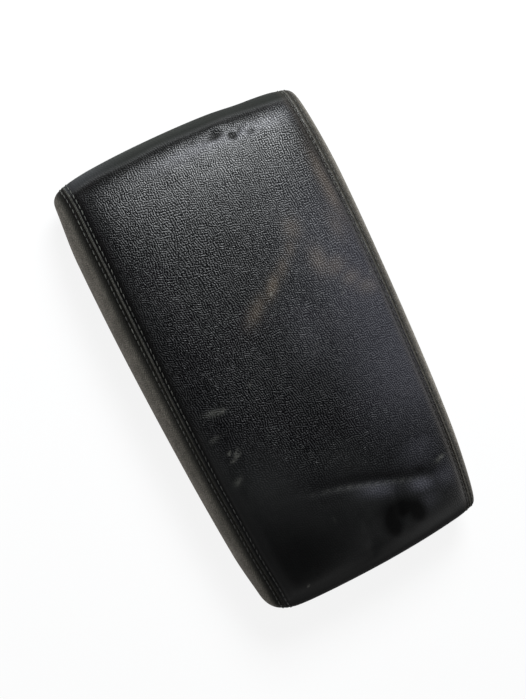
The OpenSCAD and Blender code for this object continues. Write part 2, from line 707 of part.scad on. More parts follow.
module latch_pin() {
    color("#9a9da1") translate([0, -latch_y, latch_z]) rotate([0, 90, 0]) difference() {
        union() {
            translate([0, 0, -pin_end]) cylinder(r = latch_pin_r, h = 2 * pin_end + 2.2, $fn = round_fn);
            translate([0, 0, -pin_end - 1.2]) cylinder(r = latch_pin_r + 1, h = 1.2, $fn = round_fn);
        }
        translate([0, 0, pin_end + 0.1]) difference() {
            cylinder(r = latch_pin_r + 1, h = clip_t + 0.1, $fn = round_fn);
            translate([0, 0, -1]) cylinder(r = clip_groove_r, h = clip_t + 2, $fn = round_fn);
        }
    }
}
module latch_pin_clip() {
    color("#b9bcc0") translate([pin_end + 0.15, -latch_y, latch_z]) rotate([0, 90, 0]) difference() {
        cylinder(r = latch_pin_r + 1.6, h = clip_t, $fn = round_fn);
        translate([0, 0, -1]) cylinder(r = clip_groove_r + run_fit, h = clip_t + 2, $fn = round_fn);
        translate([-clip_groove_r * 0.8, 0, -1]) cube([clip_groove_r * 1.6, latch_pin_r + 2, clip_t + 2]);
    }
}
// helix of the latch spring and its two straight legs, as the middle line of the wire
spring_x0 = hub_end + 0.9;
steps_per_turn = 14;
function leg_end_paddle() = [paddle_w / 2 - 2.4, -web_front - 3.2, paddle_z + lever_t + spring_wire / 2 + 0.05];
function leg_end_plate() = [spring_x0 + spring_wire / 2, -latch_y + spring_leg, ceiling_z - latch_plate_t - spring_wire / 2 - 0.05];
function coil_point(k) =
    let (turn = k / steps_per_turn, a = 90 + 360 * turn)
    [spring_x0 + spring_wire / 2 + spring_wire * 1.06 * turn,
     -latch_y + spring_r * cos(a), latch_z + spring_r * sin(a)];
coil_steps = round((spring_turns + 0.167) * steps_per_turn);
spring_path = concat([leg_end_plate()], [for (k = [0 : coil_steps]) coil_point(k)], [leg_end_paddle()]);
function unit(a) = a / norm(a);
function way(path, i) =
    unit(path[min(i + 1, len(path) - 1)] - path[max(i - 1, 0)]);
// ring of the wire about one point of its middle line
function wire_ring(path, i, r, sides) =
    let (t = way(path, i), s = unit(cross(t, [0.98, 0.12, 0.15])), w = cross(t, s))
    [for (k = [0 : sides - 1]) path[i] + r * (cos(360 * k / sides) * s + sin(360 * k / sides) * w)];
module wire(path, r, sides) {
    m = len(path);
    points = [for (i = [0 : m - 1]) for (p = wire_ring(path, i, r, sides)) p];
    faces = concat(
        [[for (k = [sides - 1 : -1 : 0]) k]],
        [[for (k = [0 : sides - 1]) (m - 1) * sides + k]],
        [for (i = [0 : m - 2]) for (k = [0 : sides - 1]) let (q = (k + 1) % sides)
            for (f = quad(i * sides + k, i * sides + q, (i + 1) * sides + q, (i + 1) * sides + k)) f]);
    polyhedron(points, faces, convexity = 10);
}
module latch_spring() {
    color("#a9acb0") wire(spring_path, spring_wire / 2, 6);
}

top_panel();
side_panel_left();
side_panel_right();
foam_pad();
carrier();
lower_cover();
cover_screws();
staples();
rubber_stop(-1, stops_front_at);  // rubber_stop_front_left
rubber_stop(1, stops_front_at);  // rubber_stop_front_right
rubber_stop(-1, stops_rear_at);  // rubber_stop_rear_left
rubber_stop(1, stops_rear_at);  // rubber_stop_rear_right
hinge_console_leaf();
hinge_lid_leaf();
hinge_pin();
hinge_backing_plate();
hinge_screws();
latch_housing();
latch_lever();
latch_pin();
latch_pin_clip();
latch_spring();
latch_screws();
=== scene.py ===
"""Dresses the padded car centre armrest and sets its studio.

The leather cover is shaped here on the same surface as the part's own solids, with its seams,
stitches, dents, crease and worn places. The moulded and metal pieces keep the part's solids
and get their finishes. Lengths are in millimetres until a mesh is written, but in metres in the
finishes, the lamps and the floor.
"""

import logging
import math
from dataclasses import dataclass
from enum import Enum
from typing import Sequence

import bmesh
import bpy
import numpy as np
from mathutils import Matrix, Vector

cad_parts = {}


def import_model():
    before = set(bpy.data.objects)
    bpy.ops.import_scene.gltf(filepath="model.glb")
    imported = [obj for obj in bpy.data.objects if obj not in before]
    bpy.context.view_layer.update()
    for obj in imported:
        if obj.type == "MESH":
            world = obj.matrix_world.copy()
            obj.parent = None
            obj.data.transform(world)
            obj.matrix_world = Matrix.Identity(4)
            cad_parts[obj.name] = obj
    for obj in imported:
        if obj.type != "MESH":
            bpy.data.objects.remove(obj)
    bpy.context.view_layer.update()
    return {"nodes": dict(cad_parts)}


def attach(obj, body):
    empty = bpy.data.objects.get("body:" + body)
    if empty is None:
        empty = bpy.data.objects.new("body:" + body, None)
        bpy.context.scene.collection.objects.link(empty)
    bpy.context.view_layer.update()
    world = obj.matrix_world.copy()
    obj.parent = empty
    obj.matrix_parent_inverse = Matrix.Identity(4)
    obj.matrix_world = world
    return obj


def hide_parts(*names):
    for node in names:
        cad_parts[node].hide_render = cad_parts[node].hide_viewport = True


MM = 0.001
LID = "lid"
LOG = logging.getLogger("armrest")
INSIDE = Vector((0, 0, 0.02))
Colour = tuple[float, float, float]
Array = np.ndarray
Marks = dict[str, np.ndarray]
Socket = bpy.types.NodeSocket
Material = bpy.types.Material
Piece = bpy.types.Object


def tone(red: int, green: int, blue: int) -> Colour:
    """Turn a screen colour, 0 to 255 a channel, into the linear colour that shaders take.

    Args:
        red: Red channel.
        green: Green channel.
        blue: Blue channel.

    Returns:
        The linear colour.
    """
    def linear(channel: int) -> float:
        """Undo the screen's curve for one channel."""
        share = channel / 255
        return share / 12.92 if share <= 0.04045 else ((share + 0.055) / 1.055) ** 2.4

    return linear(red), linear(green), linear(blue)


def bump(distance: Array, width: float) -> Array:
    """A smooth hump, 1 at no distance and near 0 past one width."""
    return np.exp(-(distance / width) ** 2 * 2)


def step(value: Array, low: float, high: float) -> Array:
    """A smooth step from 0 at low to 1 at high."""
    t = np.clip((value - low) / (high - low), 0, 1)
    return t * t * (3 - 2 * t)


# The padded form


class Side(Enum):
    """The two long sides of the armrest, by the sign of X."""

    LEFT = -1
    RIGHT = 1


@dataclass(frozen=True)
class Corners:
    """What use has made of the four corners: their radii, and how far the sides have drawn in."""

    front_left: float = 19.0
    front_right: float = 6.0
    rear_left: float = 16.0
    rear_right: float = 12.0
    draw_front_left: float = 2.2
    draw_front_right: float = 1.5
    draw_rear_left: float = 1.7
    draw_rear_right: float = 0.9
    rear_hollow: float = 0.8
    rear_hollow_x: float = 47.0
    rear_hollow_width: float = 13.0
    side_reach: float = 84.0
    end_reach: float = 158.0

    def radii(self, u: Array, v: Array) -> Array:
        """Corner radius that counts at u and v.

        Args:
            u: Place along the pad.
            v: Place across the pad.

        Returns:
            The radius in millimetres, one for each point.
        """
        front = np.where(v < 0, self.front_left, self.front_right)
        rear = np.where(v < 0, self.rear_left, self.rear_right)
        return np.where(u < 0, front, rear)

    def drawn(self, x: Array, y: Array) -> tuple[Array, Array]:
        """Draw the sides in towards the corners, and hollow the rear edge a little.

        Args:
            x: Places across, in plan.
            y: Places along, in plan.

        Returns:
            The moved x and y.
        """
        left = self.draw_front_left * step(-y, 108, 152) + self.draw_rear_left * step(y, 105, 148)
        right = self.draw_front_right * step(-y, 95, 150) + self.draw_rear_right * step(y, 85, 145)
        edge = np.minimum(np.abs(x) / self.side_reach, 1.1) ** 3
        near = np.exp(-((x - self.rear_hollow_x) / self.rear_hollow_width) ** 2)
        hollow = self.rear_hollow * near * (np.clip(y, 0, self.end_reach) / self.end_reach) ** 6
        return x - np.sign(x) * edge * np.where(x < 0, left, right), y - hollow


@dataclass(frozen=True)
class PadForm:
    """The padded surface, with the part's own sizes in millimetres.

    A point is named by u, which runs from -1 at the front hem to 1 at the rear hem,
    and v, which runs from -1 at the left hem to 1 at the right hem.
    """

    half_length: float = 158.0
    half_width: float = 84.5
    side_taper: float = 5.2
    side_bow: float = 5.0
    rear_bow: float = 6.7
    front_bow: float = 4.0
    corners: Corners = Corners()
    least_r: float = 1.5
    top: float = 56.0
    hem: float = 8.0
    widest: float = 24.0
    tuck: float = 6.0
    crown: float = 1.6
    side_squareness: float = 5.5
    rear_squareness: float = 4.6
    front_squareness: float = 5.6
    seam_share: float = 0.497

    @staticmethod
    def shares(t: Array, squareness: Array | float) -> tuple[Array, Array]:
        """Find how far out and how high a squarish section is at t.

        Args:
            t: Place round the section, 0 at its middle and 1 at its edge.
            squareness: Exponent of the section.

        Returns:
            The share of the full width and the share of the full height.
        """
        angle = np.radians(90 * (1 - np.abs(t)))
        along, up = np.clip(np.cos(angle), 0, 1), np.clip(np.sin(angle), 0, 1)
        scale = (along ** squareness + up ** squareness) ** (-1 / squareness)
        return along * scale, up * scale

    def side_line(self, y: Array | float, inset: float) -> Array | float:
        """Half width at y before the corners are rounded."""
        share = y / self.half_length
        return self.half_width + self.side_taper * share + self.side_bow * (1 - share ** 2) - inset

    def plan(self, u: Array, v: Array, inset: float) -> tuple[Array, Array]:
        """Place points in plan, at the widest level.

        Args:
            u: Place along the pad.
            v: Place across the pad.
            inset: How far the outline is set in.

        Returns:
            The x and y of the points.
        """
        end = np.where(u < 0, -1.0, 1.0)
        bow = np.where(u < 0, self.front_bow, self.rear_bow)
        squareness = np.where(u < 0, self.front_squareness, self.rear_squareness)
        along, _ = self.shares(u, squareness)
        across, _ = self.shares(v, self.side_squareness)
        r = np.maximum(self.least_r, self.corners.radii(u, v) - inset)
        cut = r * (1 - math.sqrt(0.5))
        end_side = self.side_line(end * self.half_length, inset)
        y_at = end * along * (self.half_length - inset - bow - cut)
        d = np.clip(np.abs(y_at) - (self.half_length - inset - r), 0, r)
        half_width = self.side_line(y_at, inset) - r + np.sqrt(r * r - d * d)
        x_at = across * (end_side - cut)
        d = np.clip(x_at - (end_side - r), 0, r)
        half_length = self.half_length - inset - bow * (x_at / end_side) ** 2 - r + np.sqrt(r * r - d * d)
        return self.corners.drawn(np.sign(v) * across * half_width, end * along * half_length)

    def tucked(self, x: Array, y: Array, depth: Array | float) -> tuple[Array, Array]:
        """Draw points in towards the middle by a depth, as the lower edge is."""
        return x * (1 - depth / self.half_width), y * (1 - depth / self.half_length)

    def points(self, u: Array, v: Array, inset: float = 0.0) -> Array:
        """Points of the padded surface.

        Args:
            u: Place along the pad.
            v: Place across the pad.
            inset: How far under the outer face.

        Returns:
            An array of points in millimetres, its last axis x, y and z.
        """
        u, v = np.broadcast_arrays(u, v)
        squareness = np.where(u < 0, self.front_squareness, self.rear_squareness)
        _, up_u = self.shares(u, squareness)
        across, up_v = self.shares(v, self.side_squareness)
        low = self.hem + inset
        z = low + (self.top - inset - low) * up_u * up_v - self.crown * across ** 2 * up_u * up_v
        fall = np.clip((self.widest - z) / (self.widest - low), 0, 1)
        x, y = self.plan(u, v, inset)
        x, y = self.tucked(x, y, self.tuck * fall ** 2)
        return np.stack([x, y, z], -1)

    def rim(self, u: Array, v: Array, inset: float) -> tuple[Array, Array]:
        """Lower edge of the pad in plan, set in by inset."""
        x, y = self.plan(u, v, inset)
        return self.tucked(x, y, self.tuck)


def arc_lengths(points: Array, axis: int) -> Array:
    """Length run along one axis of a grid of points, from its start.

    Args:
        points: Grid of points, rows by columns by 3.
        axis: 0 to run down the rows, 1 to run along the columns.

    Returns:
        The lengths, one for each point.
    """
    steps = np.linalg.norm(np.diff(points, axis=axis), axis=-1)
    start = np.zeros_like(np.take(steps, [0], axis=axis))
    return np.concatenate([start, np.cumsum(steps, axis=axis)], axis=axis)


def grid_normals(points: Array) -> Array:
    """Unit normals of a grid, rows along u and columns along v, pointing out of the pad.

    Args:
        points: The grid, rows by columns by 3.

    Returns:
        The normals, one for each point.
    """
    along = np.gradient(points, axis=0)
    across = np.gradient(points, axis=1)
    normal = np.cross(across, along)
    size = np.linalg.norm(normal, axis=-1, keepdims=True)
    return normal / np.maximum(size, 1e-9)


# Marks of use


@dataclass(frozen=True)
class Patch:
    """A soft oval place on the pad, seen from above."""

    x: float
    y: float
    length: float
    width: float
    angle: float = 0.0
    strength: float = 1.0

    def share(self, points: Array) -> Array:
        """How strongly the patch covers each point, 0 to its strength.

        Args:
            points: Points of the pad.

        Returns:
            The share at each point.
        """
        turn = math.radians(self.angle)
        dx, dy = points[..., 0] - self.x, points[..., 1] - self.y
        along = dx * math.cos(turn) + dy * math.sin(turn)
        across = -dx * math.sin(turn) + dy * math.cos(turn)
        reach = (along / self.length) ** 2 + (across / self.width) ** 2
        return self.strength * np.exp(-reach * 2)


@dataclass(frozen=True)
class Crease:
    """A fold pressed into the leather along a line of places, with a valley on its rear side."""

    path: tuple[tuple[float, float], ...]
    depth: float
    rear_width: float
    front_width: float
    crest: float = 0.0

    def along(self, points: Array) -> tuple[Array, Array]:
        """Measure points against the line.

        Args:
            points: Points of the pad.

        Returns:
            Distance from the line, more than 0 to its rear, and a share that fades at its ends.
        """
        best = np.full(points.shape[:-1], 1e6)
        side = np.zeros_like(best)
        place = np.zeros_like(best)
        spans = len(self.path) - 1
        for index, (start, end) in enumerate(zip(self.path, self.path[1:])):
            start_at, way = np.array(start), np.array(end) - np.array(start)
            rel = points[..., :2] - start_at
            t = np.clip((rel @ way) / (way @ way), 0, 1)
            away = rel - t[..., None] * way
            distance = np.linalg.norm(away, axis=-1)
            left = np.sign(way[0] * rel[..., 1] - way[1] * rel[..., 0])
            nearer = distance < best
            best = np.where(nearer, distance, best)
            side = np.where(nearer, left * distance, side)
            place = np.where(nearer, (index + t) / spans, place)
        return side, np.sin(np.pi * np.clip(place, 0.02, 0.98)) ** 0.6

    def relief(self, points: Array) -> Array:
        """Height of the fold over each point, in millimetres.

        Args:
            points: Points of the pad.

        Returns:
            The height at each point.
        """
        side, fade = self.along(points)
        valley = np.exp(-(side / np.where(side > 0, self.rear_width, self.front_width)) ** 2)
        crest = self.crest * bump(side + self.front_width * 1.7, self.front_width * 1.6)
        return fade * (crest - self.depth * valley)

    def line(self, points: Array, width: float, offset: float = 0.0) -> Array:
        """How near each point is to the line moved by offset, 1 on it."""
        side, fade = self.along(points)
        return fade * bump(side - offset, width)


@dataclass(frozen=True)
class Wear:
    """Where the pad is dented, creased, stained, scuffed and worn, in millimetres from above."""

    dents: tuple[Patch, ...] = (
        Patch(21.0, 139.5, 6.5, 3.4, 8, 1.3),
        Patch(31.0, 135.0, 3.6, 3.0, -35, 1.7),
        Patch(36.5, 137.0, 3.0, 1.8, 60, 0.7),
        Patch(43.6, 132.4, 2.4, 1.9, -20, 1.2),
    )
    lips: tuple[Patch, ...] = (
        Patch(24.0, 144.5, 10.0, 3.2, -4, 0.9),
        Patch(38.5, 134.0, 2.6, 5.0, 10, 0.7),
        Patch(47.5, 134.5, 4.0, 5.0, 0, 0.5),
        Patch(14.0, 134.5, 7.0, 4.0, 20, 0.5),
        Patch(-10.0, 128.5, 32.0, 7.0, 0, 0.6),
    )
    crease: Crease = Crease(
        ((-30, -90), (-20, -92.5), (-8, -95.5), (1, -98.5), (12, -102.5), (24, -107), (37, -112),
         (50, -117), (57, -120)), 0.62, 7.0, 1.5, 0.08)
    worn_slope: float = 0.68
    worn_from: tuple[float, float] = (56.0, 126.0)
    fold: Crease = Crease(((28, -110), (25, -117), (22, -128), (20, -136)), 0.5, 2.6, 2.6)
    smooth_spots: tuple[Patch, ...] = (
        Patch(18, -134, 15, 22, 12, 1.0),
        Patch(-45, -110, 26, 34, 0, 0.7),
        Patch(45, -138, 34, 16, 0, 0.5),
    )
    blotches: tuple[Patch, ...] = (
        Patch(23, -126.5, 17, 9, -12, 1.5),
        Patch(15, -133, 8, 15, 0, 1.6),
        Patch(33, -133, 8, 12, 12, 1.6),
        Patch(46, -109.5, 7, 3.2, -20, 0.8),
        Patch(-56, -93, 6, 4, 0, 0.35),
        Patch(-59, -128, 6, 5, 0, 0.4),
        Patch(-40, -112, 12, 26, 15, 0.4),
    )
    # Hazed places, partly painted sheen: the light band on the lit side of the crease, pale patches on the
    # top and at the rear right.
    sheens_and_hazes: tuple[Patch, ...] = (
        Patch(43, -119, 12, 6, -20, 1.1),
        Patch(15, -108.5, 17, 6, -22, 0.8),
        Patch(44, -130, 10, 9, 0, 0.35),
        Patch(64, -118, 9, 12, 0, 0.3),
        Patch(52, -97, 22, 16, 0, 0.4),
        Patch(60, -121, 14, 10, 0, 0.5),
        Patch(24, 5, 26, 42, 0, 0.3),
        Patch(64, 133, 14, 8, 0, 0.45),
    )
    stains: tuple[Patch, ...] = (
        Patch(38, 65, 8, 10, -10, 0.7),
        Patch(31, 54, 5, 9, -25, 0.45),
        Patch(21, 45, 5, 10, -35, 0.5),
        Patch(10, 37, 5, 12, -42, 0.9),
        Patch(-6, 28, 6, 14, -52, 0.65),
        Patch(45, 39, 8, 12, 0, 0.9),
        Patch(53, 32, 10, 8, 0, 0.85),
        Patch(60, 21, 9, 7, 0, 0.75),
        Patch(68, 11, 12, 7, -20, 0.7),
        Patch(73, 80, 7, 34, 0, 0.9),
        Patch(66, 55, 8, 16, 0, 0.45),
    )
    scuffs: tuple[Patch, ...] = (
        Patch(-58, -18, 8.0, 2.4, -12, 0.3),
        Patch(-53, -19, 1.2, 0.9, 0, 0.8),
        Patch(-65, -33, 4.0, 1.4, 10, 0.22),
        Patch(-60.5, -45, 1.2, 1.0, 0, 0.7),
        Patch(-58.0, -49, 5.0, 1.0, 22, 0.5),
        Patch(-56.5, -46, 3.0, 0.9, 30, 0.4),
        Patch(-63, -63, 4.0, 2.4, 30, 0.2),
        Patch(61.5, -110, 4.5, 1.4, 10, 0.4),
        Patch(-19, -112, 0.8, 0.8, 0, 1.0),
        Patch(-51, -143, 0.9, 0.9, 0, 0.6),
        Patch(20, -8, 0.9, 0.9, 0, 0.9),
        Patch(7, 33, 0.9, 0.9, 0, 0.7),
        Patch(-31, -12, 0.8, 0.8, 0, 1.2),
        Patch(50, 14, 0.9, 0.9, 0, 0.7),
        Patch(74, 18, 1.0, 1.0, 0, 0.7),
    )

    def relief(self, points: Array) -> Array:
        """Height that dents, their rims and the creases add to the pad, in millimetres.

        Args:
            points: Points of the pad.

        Returns:
            The height at each point.
        """
        height = self.crease.relief(points) + self.fold.relief(points)
        for dent in self.dents:
            height -= dent.share(points)
        for lip in self.lips:
            height += lip.share(points)
        return height

    @staticmethod
    def cover(patches: Sequence[Patch], points: Array) -> Array:
        """Strongest share of several patches at each point, up to 1.

        Args:
            patches: The patches.
            points: Points of the pad.

        Returns:
            The share at each point.
        """
        total = np.zeros(points.shape[:-1])
        for patch in patches:
            total = np.maximum(total, patch.share(points))
        return np.clip(total, 0, 1)

    def smoothness(self, points: Array) -> Array:
        """How far the grain is worn away: the front third most, the rest a little.

        Args:
            points: Points of the pad.

        Returns:
            The share at each point, 0 to 1.
        """
        x, y = points[..., 0], points[..., 1]
        ragged = 8 * np.sin(x / 17) + 5 * np.sin(x / 7 + 1)
        front = step(-y + ragged - self.worn_slope * x, *self.worn_from)
        return np.clip(np.maximum(0.95 * front, self.cover(self.smooth_spots, points)), 0, 1)


# Meshes


def sheet_mesh(name: str, points: Array, marks: Marks, closed: bool = False) -> Piece:
    """Make an object from a grid that is laid over an array of points.

    The distances across and along the sheet are kept as marks, in metres, for its grain.

    Args:
        name: Name of the piece.
        points: Grid of points in millimetres, rows by columns by 3.
        marks: Values to keep on the vertices, by name, each rows by columns.
        closed: Whether the last row joins the first.

    Returns:
        The object, with its place in its mesh.
    """
    rows, cols = points.shape[:2]
    marks = {**marks, "across": arc_lengths(points, 1) * MM, "along": arc_lengths(points, 0) * MM}
    bm = bmesh.new()
    bmesh.ops.create_grid(bm, x_segments=cols - 1, y_segments=rows - 1, size=1.0)
    layers = {key: bm.verts.layers.float.new(key) for key in marks}
    for vert in bm.verts:
        row = round((vert.co.y + 1) / 2 * (rows - 1))
        col = round((vert.co.x + 1) / 2 * (cols - 1))
        vert.co = Vector(points[row, col]) * MM
        for key, layer in layers.items():
            vert[layer] = float(marks[key][row, col])
    if closed:
        bmesh.ops.remove_doubles(bm, verts=bm.verts, dist=1e-6)
    return finished(name, bm)


def linked(name: str, data: bpy.types.ID) -> Piece:
    """Make an object of a mesh, lamp or camera and put it in the scene.

    Args:
        name: Name of the object.
        data: What it shows.

    Returns:
        The object, at the origin.
    """
    obj = bpy.data.objects.new(name, data)
    bpy.context.scene.collection.objects.link(obj)
    return obj


def finished(name: str, bm: bmesh.types.BMesh) -> Piece:
    """Turn a bmesh into a smoothly shaded object, and free it.

    Args:
        name: Name of the object.
        bm: The bmesh.

    Returns:
        The object, at the origin.
    """
    mesh = bpy.data.meshes.new(name)
    bm.to_mesh(mesh)
    bm.free()
    for face in mesh.polygons:
        face.use_smooth = True
    return linked(name, mesh)


def turned_out(obj: Piece) -> None:
    """Flip a sheet's faces if most of them look towards a place inside the pad.

    Args:
        obj: The sheet.
    """
    inward = sum(1 for face in obj.data.polygons if face.normal.dot(face.center - INSIDE) < 0)
    if inward * 2 > len(obj.data.polygons):
        obj.data.flip_normals()


# Finishes


Source = Socket | float


class Board:
    """The node tree of one material, with short calls to add and join nodes."""

    def __init__(self, name: str) -> None:
        """Start an empty material.

        Args:
            name: Name of the material.
        """
        self.material = bpy.data.materials.new(name)
        self.material.use_nodes = True
        self.tree = self.material.node_tree
        self.tree.nodes.clear()
        self.place = self.add("ShaderNodeTexCoord").outputs["Object"]

    @classmethod
    def of_world(cls, name: str) -> "Board":
        """Start an empty world and set it as the scene's.

        Args:
            name: Name of the world.

        Returns:
            Its board.
        """
        world = bpy.data.worlds.new(name)
        bpy.context.scene.world = world
        world.use_nodes = True
        board = cls.__new__(cls)
        board.tree = world.node_tree
        board.tree.nodes.clear()
        return board

    def add(self, kind: str, **settings: object) -> bpy.types.Node:
        """Add a node and set its properties.

        Args:
            kind: Blender's name of the node's type.
            **settings: Properties to set.

        Returns:
            The node.
        """
        node = self.tree.nodes.new(kind)
        for key, value in settings.items():
            setattr(node, key, value)
        return node

    def feed(self, socket: Socket, source: Source | Sequence[float]) -> None:
        """Join a source to an input, or set the input if the source is a value.

        Args:
            socket: The input.
            source: What it takes.
        """
        if isinstance(source, Socket):
            self.tree.links.new(source, socket)
        else:
            socket.default_value = source

    def math(self, operation: str, a: Source, b: Source = 0.0, clamp: bool = False) -> Socket:
        """Combine two values with a Math node.

        Args:
            operation: Blender's name of the operation.
            a: First value.
            b: Second value.
            clamp: Whether to keep the result to 0 to 1.

        Returns:
            The result.
        """
        node = self.add("ShaderNodeMath", operation=operation, use_clamp=clamp)
        self.feed(node.inputs[0], a)
        self.feed(node.inputs[1], b)
        return node.outputs[0]

    def times(self, a: Source, b: Source, clamp: bool = False) -> Socket:
        """Multiply two values."""
        return self.math("MULTIPLY", a, b, clamp)

    def plus(self, a: Source, b: Source, clamp: bool = False) -> Socket:
        """Add two values."""
        return self.math("ADD", a, b, clamp)

    def rest(self, value: Source) -> Socket:
        """What a value leaves of 1."""
        return self.math("SUBTRACT", 1.0, value)

    def most(self, a: Source, b: Source) -> Socket:
        """The greater of two values."""
        return self.math("MAXIMUM", a, b)

    def span(self, value: Source, low: float, high: float,
             to_low: float = 0.0, to_high: float = 1.0) -> Socket:
        """Map a value smoothly from one range to another, clamped.

        Args:
            value: The value.
            low: Start of its range.
            high: End of its range.
            to_low: What the start becomes.
            to_high: What the end becomes.

        Returns:
            The mapped value.
        """
        node = self.add("ShaderNodeMapRange", interpolation_type="SMOOTHSTEP")
        self.feed(node.inputs["Value"], value)
        for key, number in (("From Min", low), ("From Max", high), ("To Min", to_low), ("To Max", to_high)):
            node.inputs[key].default_value = number
        return node.outputs["Result"]

    def blend(self, share: Source, a: Source | Colour, b: Source | Colour) -> Socket:
        """Mix two colours.

        Args:
            share: Share of the second colour.
            a: First colour.
            b: Second colour.

        Returns:
            The mixed colour.
        """
        node = self.add("ShaderNodeMix", data_type="RGBA")
        self.feed(node.inputs[0], share)
        for socket, colour in ((node.inputs[6], a), (node.inputs[7], b)):
            self.feed(socket, (*colour, 1.0) if isinstance(colour, tuple) else colour)
        return node.outputs[2]

    def noise(self, scale: float, detail: float = 3.0, roughness: float = 0.5,
              place: Source | None = None) -> Socket:
        """Add smooth noise over the piece.

        Args:
            scale: Waves per metre.
            detail: How many finer layers it has.
            roughness: How strong the finer layers are.
            place: Place to read it at, or none for the place on the piece.

        Returns:
            The noise, 0 to 1.
        """
        node = self.add("ShaderNodeTexNoise")
        self.feed(node.inputs["Vector"], place or self.place)
        node.inputs["Scale"].default_value = scale
        node.inputs["Detail"].default_value = detail
        node.inputs["Roughness"].default_value = roughness
        return node.outputs["Fac"]

    def lay(self, turn: float, push: float, push_scale: float) -> Socket:
        """Find the place on a sheet by its marks across and along, turned and pushed about.

        Args:
            turn: The turn in degrees.
            push: How far noise pushes it, in metres.
            push_scale: Waves of that noise per metre.

        Returns:
            The place.
        """
        both = self.add("ShaderNodeCombineXYZ")
        self.feed(both.inputs[0], self.mark("across"))
        self.feed(both.inputs[1], self.mark("along"))
        move = self.add("ShaderNodeVectorMath", operation="MULTIPLY_ADD")
        flow = self.add("ShaderNodeTexNoise")
        self.feed(flow.inputs["Vector"], both.outputs[0])
        flow.inputs["Scale"].default_value = push_scale
        self.feed(move.inputs[0], flow.outputs["Color"])
        move.inputs[1].default_value = (push, push, push)
        self.feed(move.inputs[2], both.outputs[0])
        turned = self.add("ShaderNodeMapping")
        self.feed(turned.inputs["Vector"], move.outputs[0])
        turned.inputs["Rotation"].default_value = (0, 0, math.radians(turn))
        return turned.outputs[0]

    def grain(self, waves: float, place: Source, drawn: float) -> Socket:
        """Add an even grain of short dashes, made of two crossing sets of waves.

        Args:
            waves: Waves per metre.
            place: Place on the sheet.
            drawn: How far each set is drawn out to its side, 0 to 1.

        Returns:
            The grain's height, 0 to 1.
        """
        heights = []
        for turn, share in ((0.0, 0.56), (1.2, 0.44)):
            node = self.add("ShaderNodeTexGabor", gabor_type="2D")
            self.feed(node.inputs["Vector"], place)
            node.inputs["Scale"].default_value = waves / 2
            node.inputs["Frequency"].default_value = 2.0
            node.inputs["Anisotropy"].default_value = drawn
            node.inputs["Orientation"].default_value = turn
            heights.append(self.times(node.outputs["Value"], share))
        return self.span(self.plus(*heights), 0.43, 0.59)

    def rounded(self, radius: float) -> Socket:
        """Give normals that round a solid's sharp edges.

        Args:
            radius: The radius in metres.

        Returns:
            The normals.
        """
        edge = self.add("ShaderNodeBevel", samples=4)
        edge.inputs["Radius"].default_value = radius
        return edge.outputs[0]

    def mark(self, name: str) -> Socket:
        """A value that the piece keeps on its vertices."""
        return self.add("ShaderNodeAttribute", attribute_name=name).outputs["Fac"]

    def raised(self, height: Source, distance: float, strength: Source,
               normal: Source | None = None) -> Socket:
        """Raise a bump from a height.

        Args:
            height: The height, 0 to 1.
            distance: What a height of 1 stands for, in metres.
            strength: Share of it that is kept.
            normal: Normals to start from, or none for the piece's own.

        Returns:
            The normals.
        """
        node = self.add("ShaderNodeBump")
        self.feed(node.inputs["Height"], height)
        self.feed(node.inputs["Strength"], strength)
        node.inputs["Distance"].default_value = distance
        if normal is not None:
            self.feed(node.inputs["Normal"], normal)
        return node.outputs["Normal"]

    def shade(self, **inputs: Source | Colour | Sequence[float]) -> Material:
        """Finish with a Principled shader.

        Args:
            **inputs: Its inputs, with underscores for spaces.

        Returns:
            The material.
        """
        shader = self.add("ShaderNodeBsdfPrincipled")
        for key, value in inputs.items():
            if isinstance(value, tuple) and len(value) == 3:
                value = (*value, 1.0)
            self.feed(shader.inputs[key.replace("_", " ")], value)
        out = self.add("ShaderNodeOutputMaterial")
        self.tree.links.new(shader.outputs[0], out.inputs["Surface"])
        return self.material


